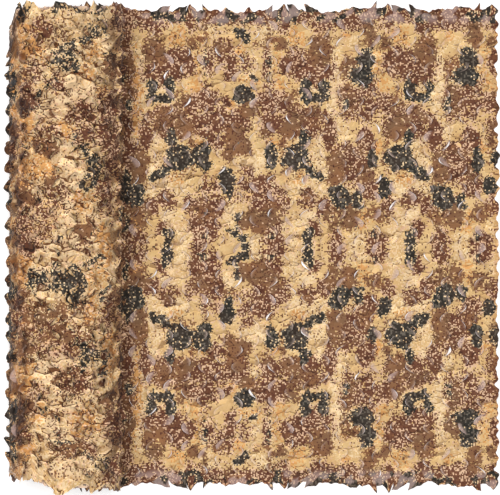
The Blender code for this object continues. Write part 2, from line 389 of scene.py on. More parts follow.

# Patches of the roll's outer turn, at full chart columns as seen from above. The brown and black
# ones at columns 0 to 8, down the left flank, stand partly for print and partly for painted
# shade; the ochre ones on the two flanks stand partly for print and partly for painted warm
# bounce light.
ROLL_PATCHES = {
    "cream": (
        (62, 24, 10, 12, 0, 0.6), (82, 29, 6, 5, 0, 0.8), (52, 66, 12, 4, 0, 0.8),
        (70, 76, 12, 5, 0, 0.8), (78, 90, 20, 14, -35, 1.0), (58, 108, 16, 9, -20, 0.9),
        (66, 150, 9, 14, 0, 0.9), (73, 190, 11, 28, 0, 1.0), (74, 236, 9, 28, 0, 1.0),
        (66, 262, 12, 8, 0, 0.8), (66, 330, 9, 6, 0, 0.5), (70, 366, 10, 8, 0, 0.7),
        (88, 176, 8, 8, 0, 0.7), (58, 248, 17, 11, 0, 0.8), (82, 210, 14, 7, 0, 0.6),
        (51, 288, 7, 9, 0, 0.6), (90, 274, 9, 8, 0, 0.6), (52, 372, 13, 16, 0, 1.0),
        (78, 412, 20, 12, 0, 0.8), (56, 428, 9, 8, 0, 0.9), (72, 467, 22, 9, 0, 0.8),
        (50, 456, 12, 8, 0, 0.5), (38, 192, 6, 8, 0, 0.5),
    ),
    "ochre": (
        (28, 30, 12, 6, 0, 0.8), (31, 51, 17, 11, 0, 1.0), (95, 52, 7, 11, 0, 0.9),
        (122, 32, 8, 7, 0, 1.0), (91, 74, 9, 7, 0, 0.7), (108, 98, 13, 10, 0, 0.7),
        (30, 128, 11, 18, 0, 0.8), (70, 131, 10, 7, 0, 0.8), (38, 168, 20, 13, 0, 0.8),
        (106, 192, 9, 20, 0, 0.6), (90, 204, 12, 10, 0, 0.6), (46, 222, 14, 16, 0, 0.5),
        (106, 236, 8, 10, 0, 0.9), (107, 252, 8, 12, 0, 0.9), (22, 267, 13, 15, 0, 1.0),
        (99, 278, 13, 10, 0, 0.7), (94, 308, 6, 18, 0, 0.8), (110, 350, 7, 26, 0, 0.8),
        (24, 378, 14, 20, 0, 0.8), (12, 390, 8, 12, 0, 0.9), (36, 412, 14, 10, 0, 0.7),
        (90, 422, 14, 14, 0, 0.7), (28, 456, 13, 12, 0, 0.8), (122, 450, 8, 10, 0, 0.8),
    ),
    "speckle": (
        (46, 32, 9, 14, 0, 0.75), (36, 73, 14, 7, 0, 0.6), (30, 98, 10, 16, 0, 0.85),
        (56, 85, 11, 6, 0, 0.6), (110, 106, 14, 14, 0, 0.75), (85, 113, 16, 11, -20, 0.8),
        (90, 134, 12, 11, 0, 0.65), (50, 130, 11, 8, 0, 0.5), (112, 142, 14, 26, 0, 0.85),
        (60, 190, 10, 11, 0, 0.6), (106, 190, 10, 24, 0, 0.75), (45, 210, 17, 13, 0, 0.5),
        (44, 228, 16, 9, 0, 0.55), (22, 226, 12, 16, 0, 0.8), (28, 245, 14, 10, 0, 0.9),
        (109, 310, 9, 18, 0, 0.7), (20, 312, 12, 20, 0, 0.75), (48, 332, 30, 11, 0, 0.55),
        (62, 346, 34, 9, 0, 0.6), (80, 380, 19, 14, 0, 0.6), (40, 394, 12, 10, 0, 0.45),
        (112, 426, 11, 16, 0, 0.75), (24, 434, 13, 12, 0, 0.9), (28, 404, 14, 10, 0, 0.6),
        (112, 470, 16, 12, 0, 0.85), (84, 448, 20, 7, 0, 0.5), (14, 146, 8, 20, 0, 0.8),
        (8, 32, 18, 20, 0, 0.75), (124, 80, 8, 36, 0, 0.9), (122, 385, 7, 60, 0, 0.85),
        (118, 18, 14, 12, 0, 0.85),
    ),
    "brown": (
        (111, 66, 11, 13, 0, 1.0), (25, 194, 13, 14, 0, 1.0), (88, 306, 9, 11, 0, 0.9),
        (28, 350, 9, 14, 0, 0.8), (28, 292, 7, 8, 0, 0.8), (28, 330, 8, 10, 0, 0.9),
        (21, 424, 8, 12, 0, 0.9), (30, 406, 9, 8, 0, 0.8), (48, 148, 11, 9, 0, 0.9),
        (57, 180, 7, 9, 0, 0.8), (87, 232, 11, 11, 0, 0.8), (40, 312, 20, 11, 0, 0.7),
        (67, 312, 10, 8, 0, 0.6), (60, 334, 17, 8, 0, 0.7), (92, 334, 9, 11, 0, 0.7),
        (110, 400, 11, 11, 0, 1.0), (116, 291, 9, 8, 0, 0.9), (121, 262, 4, 24, 0, 0.8),
        (15, 130, 7, 12, 0, 0.9), (10, 22, 14, 8, 0, 0.8), (17, 345, 9, 18, 0, 0.7),
        (12, 445, 8, 8, 0, 0.7), (58, 418, 6, 4, 0, 0.6), (70, 448, 14, 6, 0, 0.6),
        (66, 36, 8, 8, 0, 0.4), (10, 130, 8, 30, 0, 0.9), (8, 175, 7, 50, 0, 0.7),
        (8, 310, 8, 60, 0, 0.9), (8, 430, 8, 40, 0, 0.9), (0, 140, 16, 14, 0, 0.9),
        (0, 210, 16, 30, 0, 0.9), (0, 260, 16, 20, 0, 0.6), (0, 310, 16, 20, 0, 0.9),
        (0, 436, 16, 16, 0, 0.9),
    ),
    "black": (
        (25, 11, 11, 8, 0, 1.2), (61, 5, 8, 6, 0, 1.3), (85, 6, 9, 6, 0, 1.3),
        (6, 44, 14, 4, 0, 1.1), (10, 14, 10, 6, 0, 1.0), (103, 12, 7, 6, 0, 0.9),
        (102, 30, 12, 8, 0, 0.9), (84, 41, 13, 4, -35, 1.0), (70, 56, 14, 7, -20, 1.0),
        (74, 68, 8, 7, 0, 1.0), (60, 63, 6, 5, 0, 0.9), (50, 84, 6, 5, 0, 0.8),
        (14, 86, 9, 13, 0, 1.1), (0, 64, 16, 18, 0, 1.1), (0, 96, 16, 20, 0, 1.1),
        (0, 126, 16, 12, 0, 0.9), (0, 196, 16, 12, 0, 1.1), (0, 228, 16, 9, 0, 0.9),
        (0, 290, 16, 14, 0, 1.1), (0, 330, 16, 20, 0, 1.1), (0, 356, 16, 10, 0, 1.1),
        (0, 418, 16, 18, 0, 1.1), (0, 456, 16, 12, 0, 1.1), (122, 40, 4, 6, 0, 0.8),
        (112, 54, 8, 5, 0, 0.7), (76, 144, 5, 6, 0, 1.0), (88, 151, 10, 5, 35, 1.1),
        (98, 162, 9, 8, 20, 1.0), (98, 172, 8, 8, 0, 0.9), (92, 182, 7, 7, 0, 1.0),
        (124, 188, 7, 10, 0, 1.0), (38, 280, 9, 10, 0, 1.1), (57, 270, 8, 5, 0, 0.9),
        (72, 284, 16, 15, 0, 1.05), (96, 260, 10, 5, -20, 0.9), (78, 304, 7, 9, 0, 1.0),
        (14, 290, 8, 8, 0, 1.1), (106, 292, 5, 6, 0, 0.8), (14, 340, 6, 16, 0, 0.7),
        (9, 354, 7, 7, 0, 1.1), (92, 352, 8, 8, 0, 0.9), (104, 354, 7, 7, 0, 1.1),
        (88, 364, 8, 5, 0, 0.9), (103, 371, 4, 7, 0, 0.9), (10, 414, 8, 14, 0, 1.05),
        (15, 411, 6, 13, 0, 1.05), (14, 456, 7, 12, 0, 1.05), (14, 356, 6, 7, 0, 1.0),
        (7, 456, 7, 12, 0, 1.0), (104, 462, 8, 8, 0, 0.8), (7, 110, 6, 8, 0, 1.0),
        (8, 196, 6, 9, 0, 0.9), (6, 228, 5, 8, 0, 0.8), (120, 214, 6, 8, 0, 0.8),
        (60, 441, 12, 3, 0, 0.7), (86, 453, 6, 3, 0, 0.7), (121, 304, 5, 10, 0, 0.9),
    ),
}

# A black patch of the repeat that isn't there in the two repeats by the fold
FOLD_BARE = ((284, 186, 9, 14, 0, 1.0),)
INKS = tuple(REPEAT_PATCHES)

# Inks that the outer turn shows between its patches; by the nip, its speckle and ochre stand
# partly for print and partly for painted shade
ROLL_GROUND = {"cream": 0.64, "speckle": 0.03}
NIP_GROUND = {"cream": 0.35, "speckle": 0.42, "ochre": 0.45}

# How full the outer turn's inks are next to those of the length
ROLL_SHARE = {"speckle": 0.80, "black": 0.76}

# The leaves as they lie over each other: which way their rows run and how flat they are
TILE_TURN = 38.0
TILE_FLATNESS = 0.75
ROLL_TILE = 9.0
FLANK_TILE = 15.0
ROLL_SLIP = 4.0
LENGTH_TILE = 8.5
LENGTH_SLIP = 1.2

# Where a patch of each ink starts to thin out and where it ends, in shares of its half size
PATCH_EDGE = {
    "cream": (0.60, 1.65),
    "ochre": (0.60, 1.65),
    "speckle": (0.60, 1.60),
    "brown": (0.75, 1.45),
    "black": (0.90, 1.50),
}

# Tongues of the cut edge, six to a repeat: how far four places along each stand out, how far
# the tip leans along the edge, and how far it curls up
EDGE_TONGUES = (
    {"out": (0.015, 0.006, -0.003, -0.012), "lean": -0.007, "curl": 0.006},
    {"out": (0.012, 0.002, -0.007, -0.013), "lean": -0.008, "curl": 0.006},
    {"out": (-0.014, -0.010, -0.006, -0.006), "lean": 0.000, "curl": 0.000},
    {"out": (-0.004, -0.001, 0.009, -0.001), "lean": 0.001, "curl": 0.004},
    {"out": (-0.001, 0.000, 0.001, 0.021), "lean": 0.002, "curl": 0.009},
    {"out": (-0.002, -0.004, 0.019, -0.008), "lean": 0.002, "curl": 0.010},
)

# Tongues of the roll's cut ends, as flat tabs
ROLL_TONGUES = (
    {"out": (0.006, 0.015, 0.013, 0.000), "lean": 0.006, "curl": 0.003},
    {"out": (-0.008, -0.013, -0.006, 0.003), "lean": 0.000, "curl": 0.000},
    {"out": (0.009, 0.018, 0.015, 0.004), "lean": -0.005, "curl": 0.004},
    {"out": (0.003, -0.008, -0.013, -0.007), "lean": 0.000, "curl": 0.000},
    {"out": (0.000, 0.018, 0.004, -0.009), "lean": -0.009, "curl": 0.005},
    {"out": (-0.006, 0.003, 0.009, 0.015), "lean": -0.007, "curl": 0.004},
)


def ink_colour(name, description, default):
    """A colour that a user can change."""
    return bpy.props.FloatVectorProperty(
        name=name, description=description, default=default, subtype="COLOR"
    )


class NettingSizes(bpy.types.PropertyGroup):
    """Sizes of the cloth and its cuts"""

    net_width: bpy.props.FloatProperty(
        name="Net width",
        description="Width of the cloth, from cut edge to cut edge",
        default=1.500,
        unit="LENGTH",
    )
    roll_radius: bpy.props.FloatProperty(
        name="Roll radius",
        description="Radius of the roll's outer turn",
        default=0.170,
        unit="LENGTH",
    )
    cut_bulge: bpy.props.FloatProperty(
        name="Cut bulge",
        description="How far a leaf cut bows out from its chord",
        default=0.014,
        unit="LENGTH",
    )
    length_root: bpy.props.FloatProperty(
        name="Leaf root, length",
        description="How far behind its line a leaf starts to bend on the pulled-out length",
        default=0.008,
        unit="LENGTH",
    )
    roll_root: bpy.props.FloatProperty(
        name="Leaf root, roll",
        description="How far behind its line a leaf starts to bend on the roll",
        default=0.013,
        unit="LENGTH",
    )
    length_curl: bpy.props.FloatProperty(
        name="Curled leaves, length",
        description="Share of the leaves that curl up on the pulled-out length",
        default=0.09,
        subtype="FACTOR",
    )
    roll_curl: bpy.props.FloatProperty(
        name="Curled leaves, roll",
        description="Share of the leaves that curl up on the roll",
        default=0.75,
        subtype="FACTOR",
    )
    turn_gap: bpy.props.FloatProperty(
        name="Turn spacing",
        description="Distance from one wound turn to the next",
        default=TURN_DEPTH,
        unit="LENGTH",
    )


class NettingColours(bpy.types.PropertyGroup):
    """Inks and cloth of the print"""

    sand: ink_colour("Sand", "Ground colour of the print", (0.680, 0.452, 0.198))
    cream: ink_colour("Cream", "Palest ink", (0.830, 0.620, 0.368))
    ochre: ink_colour("Ochre", "Warm ink between the sand patches", (0.650, 0.335, 0.115))
    red_brown: ink_colour("Red-brown", "Ink of the speckle", (0.108, 0.034, 0.020))
    brown: ink_colour("Brown", "Ink of the solid mid-brown patches", (0.265, 0.122, 0.052))
    umber: ink_colour("Umber", "Greyer shade of the mid-brown patches", (0.210, 0.112, 0.056))
    blush: ink_colour("Blush", "Pale ink between the red-brown specks", (0.720, 0.480, 0.310))
    dusk: ink_colour("Dusk", "Browner shade of the darkest patches", (0.050, 0.034, 0.024))
    smoke: ink_colour("Smoke", "Grey squares among the darkest ink", (0.130, 0.110, 0.085))
    rim: ink_colour(
        "Cut rim", "Pale cut edge of a leaf, where it catches the light", (0.800, 0.600, 0.500)
    )
    black: ink_colour("Black-green", "Darkest ink", (0.023, 0.022, 0.017))
    reverse: ink_colour("Reverse", "Pale unprinted side of the cloth", (0.520, 0.370, 0.330))


# ---------------------------------------------------------------- the cut cloth, laid flat


def ease(low, high, value):
    """Smooth step for an array: 0 up to low, 1 from high."""
    share = np.clip((value - low) / (high - low), 0.0, 1.0)
    return share * share * (3.0 - 2.0 * share)


def smooth_field(places, field):
    """A smooth random vector for each place on the cloth, about -1 to 1, the same in each run."""
    per_unit, number = FIELDS[field]
    noise.seed_set(FIELD_SEED)
    shift = Vector((number * 7.31, number * 3.17, number * 5.53))
    return np.array(
        [noise.noise_vector(Vector((x, y, 0.0)) * per_unit + shift)[:] for x, y in places]
    )


class CutPlan:
    """Where each line of leaf cuts lies in the grid, and how each leaf swings and bends."""

    def __init__(self, lines, columns, rows, leaves):
        dice = random.Random(leaves["seed"])
        self.lines = [0, *lines, columns]
        self.rows = rows
        shape = (len(self.lines), rows + 1)
        self.open = np.zeros((len(self.lines), rows), bool)
        self.chord = np.zeros(shape)
        self.swing = np.zeros(shape)
        self.bend = np.zeros(shape)
        self.pull = np.zeros(shape)
        self.skew = np.zeros(shape)
        self.rim = np.zeros(shape)
        self.turned = np.zeros(shape)
        for number in range(1, len(self.lines) - 1):
            self.open[number, :EDGE_CUT_ROWS] = True
            self.open[number, -EDGE_CUT_ROWS:] = True
            long, pitch = leaves["rows"], leaves["pitch"]
            if leaves["hang"][number]:
                long, pitch = HANGING_ROWS, HANGING_PITCH
            stagger = 0 if leaves["hang"][number] else pitch // 2 * (number % 2)
            first = stagger + EDGE_CUT_ROWS + 1
            for start in range(first, rows - EDGE_CUT_ROWS - long, pitch):
                self.add_cut(number, start, long, leaves, dice)

    def add_cut(self, number, start, long, leaves, dice):
        """One cut, bowed to one side and leaning along the cloth."""
        self.open[number, start : start + long] = True
        share = np.arange(long + 1) / long
        span = slice(start, start + long + 1)
        hang = leaves["hang"][number]
        side = hang or dice.choice((-1.0, 1.0))
        arch = 1.0 - np.abs(2.0 * share - 1.0) ** dice.uniform(*CUT_ARCH)
        slant = dice.uniform(*CUT_SLANT) * (-1.0) ** (number + start // leaves["pitch"])
        if hang:
            slant *= HANGING_SLANT
        self.chord[number, span] = slant * (1.0 - 2.0 * share)
        self.swing[number, span] = side * leaves["bulge"] * dice.uniform(*CUT_SWING) * arch
        kind = "tight" if dice.random() < leaves["curled"] else "loose"
        kind = "hanging" if hang else kind
        radius = dice.uniform(*leaves[kind])
        self.bend[number, span] = (4.0 * share * (1.0 - share)) ** 0.6 / radius
        self.pull[number, span] = leaves["pull"] * dice.random() ** 2 * arch
        self.skew[number, span] = dice.uniform(-LEAF_SKEW, LEAF_SKEW)
        self.rim[number, span] = RIM_MOST * dice.uniform(0.2, 1.0) * arch
        self.turned[number, span] = dice.random() < leaves["turned"]


class FlatCloth:
    """A flat grid, cut open, with the place of every point in its line, row and leaf."""

    def __init__(self, plan, columns, rows):
        self.columns = columns
        self.rows = rows
        self.mesh = bmesh.new()
        bm = self.mesh
        bmesh.ops.create_grid(bm, x_segments=columns, y_segments=rows, size=0.5)
        on_line = {column: number for number, column in enumerate(plan.lines)}
        cuts = []
        for edge in bm.edges:
            start, end = (vert.co for vert in edge.verts)
            column = round((start.x + 0.5) * columns)
            if column not in on_line or abs(start.x - end.x) * columns > 0.5:
                continue
            row = round((min(start.y, end.y) + 0.5) * rows)
            if plan.open[on_line[column], row]:
                cuts.append(edge)
        bmesh.ops.split_edges(bm, edges=cuts)
        places = []
        for vert in bm.verts:
            column = round((vert.co.x + 0.5) * columns)
            row = round((vert.co.y + 0.5) * rows)
            left = False
            if column in on_line and column:
                left = all(face.calc_center_median().x < vert.co.x for face in vert.link_faces)
            places.append((column, row, left))
        place = np.array(places)
        self.column = place[:, 0]
        self.row = place[:, 1]
        lines = np.array(plan.lines)
        cell = np.searchsorted(lines, self.column, side="right") - 1
        self.cell = np.clip(np.where(place[:, 2] == 1, cell - 1, cell), 0, len(lines) - 2)
        width = lines[self.cell + 1] - lines[self.cell]
        self.share = (self.column - lines[self.cell]) / width

    def from_edge(self):
        """How many rows each point is from the nearer cut edge."""
        return np.minimum(self.row, self.rows - self.row)


def lobe_bend(distance, bend):
    """How far along and how high a strip of cloth reaches when it bends from its root: an arc,
    and straight on once it has turned over."""
    past = np.maximum(distance, 0.0)
    bent = np.maximum(bend, 1e-3)
    turn = np.minimum(past * bent, FOLDED_OVER)
    beyond = past - turn / bent
    along = np.sin(turn) / bent + beyond * np.cos(turn)
    high = (1.0 - np.cos(turn)) / bent + beyond * np.sin(turn)
    return along, high


def open_leaves(cloth, plan, line_x, width, leaf_root):
    """Swing, bend and pull the cloth at its cuts; gives flat places, lifted places, and marks for
    the painted highlight on the rims, the painted shadow beside them and the leaves that show
    their reverse."""
    cell, share, row = cloth.cell, cloth.share, cloth.row
    cut = plan.chord + plan.swing
    left_x = line_x[cell] + cut[cell, row]
    right_x = line_x[cell + 1] + cut[cell + 1, row]
    flat_x = left_x + (right_x - left_x) * share
    flat_y = (row / plan.rows - 0.5) * width
    x, y, lift = flat_x.copy(), flat_y.copy(), np.zeros(len(flat_x))
    marks = {name: np.zeros(len(flat_x)) for name in ("rim", "deep_shadow", "turned")}
    for line, way in ((cell, 1.0), (cell + 1, -1.0)):
        here = plan.swing[line, row] * way
        root = line_x[line] + plan.chord[line, row] + way * leaf_root
        past = (root - flat_x) * way
        along, high = lobe_bend(past, plan.bend[line, row])
        leaf = (here < 0.0) & (past > 0.0)
        x = np.where(leaf, root - way * along, x)
        lift = np.where(leaf, np.maximum(lift, high), lift)
        y = y + np.where(leaf, plan.skew[line, row] * high, 0.0)
        back = np.abs(flat_x - (line_x[line] + cut[line, row]))
        drawn = plan.pull[line, row] * np.exp(-back / PULL_WIDTH)
        x = x + np.where(here >= 0.0, way * drawn, 0.0)
        lift = lift - np.where(here >= 0.0, 0.8 * drawn, 0.0)
        # Painted highlight on the leaf's own cut edge, and painted shadow on the other side of
        # the cut, under the lifted leaf
        rim = plan.rim[line, row] * np.clip(1.0 - back / RIM_WIDTH, 0.0, 1.0)
        marks["rim"] = np.maximum(marks["rim"], np.where(here < 0.0, rim, 0.0))
        near = np.exp(-back / SLIT_WIDTH) * (plan.rim[line, row] > 0.0)
        marks["deep_shadow"] = np.maximum(marks["deep_shadow"], np.where(here > 0.0, near, 0.0))
        turned = plan.turned[line, row] * ease(0.002, 0.010, past)
        marks["turned"] = np.maximum(marks["turned"], np.where(leaf, turned, 0.0))
    return np.stack((flat_x, flat_y), 1), x, y, lift, marks


def edge_tongues(cloth, first_index, tongues):
    """How far points by the two cut edges move out, along the edge and up."""
    near = np.clip(1.0 - cloth.from_edge() / EDGE_CUT_ROWS, 0.0, 1.0)
    index = cloth.cell + first_index
    mirrored = index < 0
    index = np.where(mirrored, -index - 1, index)
    share = np.where(mirrored, 1.0 - cloth.share, cloth.share)
    kind = (index + LEAVES_IN_REPEAT // 2) % LEAVES_IN_REPEAT
    out, lean, curl = (np.zeros(len(near)) for _ in range(3))
    for number, tongue in enumerate(tongues):
        chosen = kind == number
        reach = np.interp(share, (0.0, 0.33, 0.67, 1.0), tongue["out"])
        out = np.where(chosen, reach, out)
        tip = np.clip(reach / 0.012, 0.0, 1.0)
        lean = np.where(chosen, tongue["lean"] * tip, lean)
        curl = np.where(chosen, tongue["curl"] * tip, curl)
    lean = np.where(mirrored, -lean, lean)
    return out * near, lean * near * near, curl * near * near


# ---------------------------------------------------------------- the print


def patch_cover(ink, patches, across, down):
    """How fully patches of one ink cover each place of the chart, 0 to 1."""
    cover = np.zeros(len(across))
    full_until, none_from = PATCH_EDGE[ink]
    for column, row, half_width, half_height, tilt, full in patches:
        turn = math.radians(tilt)
        right = (across - column) * math.cos(turn) + (down - row) * math.sin(turn)
        below = (down - row) * math.cos(turn) - (across - column) * math.sin(turn)
        away = np.hypot(right / half_width, below / half_height)
        cover = np.maximum(cover, full * ease(none_from, full_until, away))
    return cover


def leaf_tiles(across, down, pitch, seed):
    """The leaf that each place of the chart is on: how far it lies from the leaf's middle, in
    shares of the pitch, and three random values of that leaf from -1 to 1."""
    turn = math.radians(TILE_TURN)
    right = (across * math.cos(turn) + down * math.sin(turn)) / pitch
    below = (down * math.cos(turn) - across * math.sin(turn)) / (pitch * TILE_FLATNESS)
    nearest = np.full(len(across), np.inf)
    result = np.zeros((5, len(across)))
    for step_right in (-1, 0, 1):
        for step_below in (-1, 0, 1):
            cell = np.floor(right) + step_right, np.floor(below) + step_below
            dice = []
            for number in range(5):
                mixed = np.sin(cell[0] * 12.9898 + cell[1] * 78.233 + seed + number * 3.7)
                dice.append(2.0 * np.mod(mixed * 4375.85, 1.0) - 1.0)
            from_right = right - cell[0] - 0.5 - 0.30 * dice[3]
            from_below = below - cell[1] - 0.5 - 0.30 * dice[4]
            away = np.hypot(from_right, from_below)
            closer = away < nearest
            nearest = np.where(closer, away, nearest)
            for row, value in enumerate((from_right, from_below, *dice[:3])):
                result[row] = np.where(closer, value, result[row])
    return result


def ragged_places(across, down):
    """Places of the chart, shifted a little by a smooth random field for ragged outlines."""
    places = np.column_stack((across, down))
    wide = smooth_field(places, "outline_wide")
    small = smooth_field(places, "outline_small")
    shift = RAGGED_WIDE * wide + RAGGED_SMALL * small
    return across + shift[:, 0], down + shift[:, 1]


def repeat_print(across, down):
    """The covers of all inks over the pulled-out length, at full chart columns."""
    mirrored = np.abs(across - MIRROR_COLUMN) + MIRROR_COLUMN
    column = np.mod(mirrored - REPEAT_START, REPEAT_STEPS)
    row = CHART_ROW_AT_ORIGIN - np.abs(down - CHART_ROW_AT_ORIGIN)
    near_fold = np.mod(mirrored - MIRROR_COLUMN, 4.0 * REPEAT_STEPS)
    ragged, row = ragged_places(near_fold, row)
    shift = ragged - near_fold
    column = column + shift
    side = np.sign(across - MIRROR_COLUMN)
    by_fold = MIRROR_COLUMN + (mirrored - MIRROR_COLUMN + shift) * side
    clear = ease(FOLD_CLEAR, FOLD_CLEAR + FOLD_FADE, np.abs(across - MIRROR_COLUMN))
    covers = {}
    for ink in INKS:
        cover = np.zeros(len(across))
        for around in (-REPEAT_STEPS, 0.0, REPEAT_STEPS):
            cover = np.maximum(cover, patch_cover(ink, REPEAT_PATCHES[ink], column + around, row))
        cover = cover * clear
        if ink == "black":
            cover = cover * (1.0 - patch_cover(ink, FOLD_BARE, MIRROR_COLUMN + near_fold, row))
        covers[ink] = np.maximum(cover, patch_cover(ink, FOLD_PATCHES[ink], by_fold, row))
    return covers


def roll_print(arc, down, radius):
    """The covers of all inks round the outer turn, from the distance past its top line."""
    under = ease(1.15, 1.35, np.abs(arc) / (math.pi / 2.0 * radius))
    to_nip = ease(0.65, 0.90, arc / (math.pi / 2.0 * radius))
    below = repeat_print(arc / STEP + REPEAT_START, down)
    ragged, row = ragged_places(arc / STEP, down)
    covers = {}
    for ink in INKS:
        patches = []
        for column, *rest in ROLL_PATCHES[ink]:
            half = radius * (1.0 + WIDENING) / STEP
            seen = (column - CHART_COLUMN_AT_ORIGIN) / half
            inner = max(min(seen, 0.98), -0.98)
            round_top = math.asin(inner) * radius / STEP + (seen - inner) * half
            patches.append((round_top, *rest))
        above = patch_cover(ink, patches, ragged, row)
        above = np.maximum(above, ROLL_GROUND.get(ink, 0.0) * (1.0 - 0.7 * to_nip))
        above = np.maximum(above, NIP_GROUND.get(ink, 0.0) * to_nip)
        above = ROLL_SHARE.get(ink, 1.0) * above
        covers[ink] = above * (1.0 - under) + below[ink] * under
    return covers


def finish_cloth(name, cloth, points, flat, covers, colours):
    """Turn the moved grid into the piece, with its print, its map and its material."""
    bm = cloth.mesh
    mesh = bpy.data.meshes.new(name)
    bm.to_mesh(mesh)
    bm.free()
    mesh.vertices.foreach_set("co", np.ascontiguousarray(points, np.float32).ravel())
    for ink, cover in covers.items():
        layer = mesh.attributes.new(ink, "FLOAT", "POINT")
        layer.data.foreach_set("value", np.ascontiguousarray(cover, np.float32))
    corner = np.zeros(len(mesh.loops), np.int32)
    mesh.loops.foreach_get("vertex_index", corner)
    cloth_map = mesh.uv_layers.new(name="cloth")
    cloth_map.uv.foreach_set("vector", np.ascontiguousarray(flat[corner], np.float32).ravel())
    mesh.shade_smooth()
    mesh.update()
    piece = bpy.data.objects.new(name, mesh)
    bpy.context.scene.collection.objects.link(piece)
    mesh.materials.append(cloth_material(colours))
    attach(piece, "root")
    return piece


# ---------------------------------------------------------------- the material


class ClothNodes:
    """Short ways to add, fill and join the nodes of one material."""

    def __init__(self, tree):
        self.tree = tree

    def fill(self, socket, value):
        """Join another socket to this one, or set its number, vector or colour."""
        if isinstance(value, bpy.types.NodeSocket):
            self.tree.links.new(value, socket)
        elif value is not None:
            socket.default_value = (*value, 1.0) if socket.type == "RGBA" else value

    def add(self, kind, inputs, **settings):
        """One node, with its inputs by name or number."""
        node = self.tree.nodes.new("ShaderNode" + kind)
        for key, value in settings.items():
            setattr(node, key, value)
        for key, value in inputs.items():
            self.fill(node.inputs[key], value)
        return node

    def math(self, operation, first, second=None):
        """A Math node on sockets or numbers; gives its output."""
        return self.add("Math", {0: first, 1: second}, operation=operation).outputs[0]

    def vector(self, operation, *values):
        """A Vector Math node on sockets or vectors; gives its output."""
        node = self.add("VectorMath", dict(enumerate(values)), operation=operation)
        return node.outputs["Value" if operation == "DOT_PRODUCT" else "Vector"]

    def spread(self, value, low, high, full=1.0):
        """A value from low to high, spread over 0 to full; gives the output."""
        return self.add("MapRange", {0: value, 1: low, 2: high, 4: full}, clamp=True).outputs[0]

    def mix(self, mask, below, above, blend="MIX"):
        """One colour over another, or multiplied by it, by a mask; gives the output."""
        inputs = {0: mask, 6: below, 7: above}
        return self.add("Mix", inputs, data_type="RGBA", blend_type=blend).outputs[2]

    def mark(self, name):
        """A value kept on the points of the mesh: an ink's cover, or a mark of the cuts."""
        return self.add("Attribute", {}, attribute_name=name).outputs["Fac"]

    def lay_out(self, last):
        """Set the nodes out in columns, each to the left of the nodes that it feeds."""
        column = {node.name: 0 if node in last else 1 for node in self.tree.nodes}
        for node in reversed(self.tree.nodes[:]):
            for link in (link for socket in node.inputs for link in socket.links):
                feeding = link.from_node.name
                column[feeding] = max(column[feeding], column[node.name] + 1)
        filled = [0] * len(column)
        for node in self.tree.nodes:
            place = column[node.name]
            node.location = (-NODE_COLUMN * place, -NODE_ROW * filled[place])
            filled[place] += 1


def chart_places(nodes, cloth_map):
    """Places of the repeat, folded at its two mirrors and shaken a little."""
    place = nodes.add("SeparateXYZ", {0: cloth_map}).outputs
    across = nodes.math("ABSOLUTE", nodes.math("SUBTRACT", place[0], FOLD_X))
    across = nodes.math("MODULO", across, REPEAT_STEPS * STEP)
    down = nodes.math("ABSOLUTE", place[1])
    folded = nodes.add("CombineXYZ", {0: across, 1: down}).outputs[0]
    inputs = {"Vector": folded, "Scale": WOBBLES_PER_METRE, "Detail": 0.0}
    wobble = nodes.add("TexNoise", inputs).outputs[1]
    return nodes.vector("MULTIPLY_ADD", wobble, (WOBBLE, WOBBLE, 0.0), folded)


def print_squares(nodes, places, size, seed):
    """The chart cut into squares; gives three random values and a clumped one for each."""
    shifted = nodes.vector("ADD", places, (3.0 + seed, 5.0 + seed, seed))
    snapped = nodes.vector("SNAP", shifted, (size, size, size))
    dice = nodes.add("TexWhiteNoise", {"Vector": snapped}).outputs["Color"]
    inputs = {"Vector": snapped, "Scale": CLUMPS_PER_METRE, "Detail": 1.0}
    clump = nodes.add("TexNoise", inputs).outputs[0]
    return nodes.add("SeparateColor", {0: dice}).outputs, nodes.math("SUBTRACT", clump, 0.5)


def leaf_facets(nodes, cloth_map, ruffle):
    """The leaves' small facets: three random values for each, how far across it a place is, its
    tilt, the painted shadow in the open gap below it and the painted highlight on its raised edge
    above."""
    scale = (1.0 / LEAF_WIDE, 1.0 / LEAF_TALL, 1.0)
    inputs = {"Vector": cloth_map, "Rotation": (0.0, 0.0, LEAF_TURN), "Scale": scale}
    laid = nodes.add("Mapping", inputs).outputs[0]
    inputs = {"Vector": laid, "Scale": 1.0, "Randomness": LEAF_SCATTER}
    nearest, next_one = (
        nodes.add("TexVoronoi", inputs, feature=kind, distance="MANHATTAN").outputs
        for kind in ("F1", "F2")
    )
    leaf = nodes.add("SeparateColor", {0: nearest["Color"]}).outputs
    border = nodes.math("SUBTRACT", next_one["Distance"], nearest["Distance"])
    near_border = nodes.math("MULTIPLY", nodes.spread(border, *BORDER_FADE), ruffle)
    from_middle = nodes.vector("SUBTRACT", laid, nearest["Position"])
    side = nodes.vector("DOT_PRODUCT", from_middle, LEAF_FACING)
    # Painted highlight along each leaf's raised edge, above its brow
    raised = nodes.math("MULTIPLY", nodes.math("LESS_THAN", side, -LEAF_BROW), near_border)
    # Painted shadow in the open gap below some of the leaves, beyond their brow
    gaping = nodes.math("GREATER_THAN", leaf[2], CLEFT_SHADOW_RARE)
    cleft_shadow = nodes.math("MULTIPLY", near_border, gaping)
    cleft_shadow = nodes.math("MULTIPLY", cleft_shadow, nodes.math("GREATER_THAN", side, LEAF_BROW))
    leaning = nodes.vector("SUBTRACT", nearest["Color"], (0.5, 0.5, 0.5))
    tilt = nodes.vector("DOT_PRODUCT", from_middle, leaning)
    return leaf, side, nodes.math("MULTIPLY", tilt, ruffle), cleft_shadow, raised


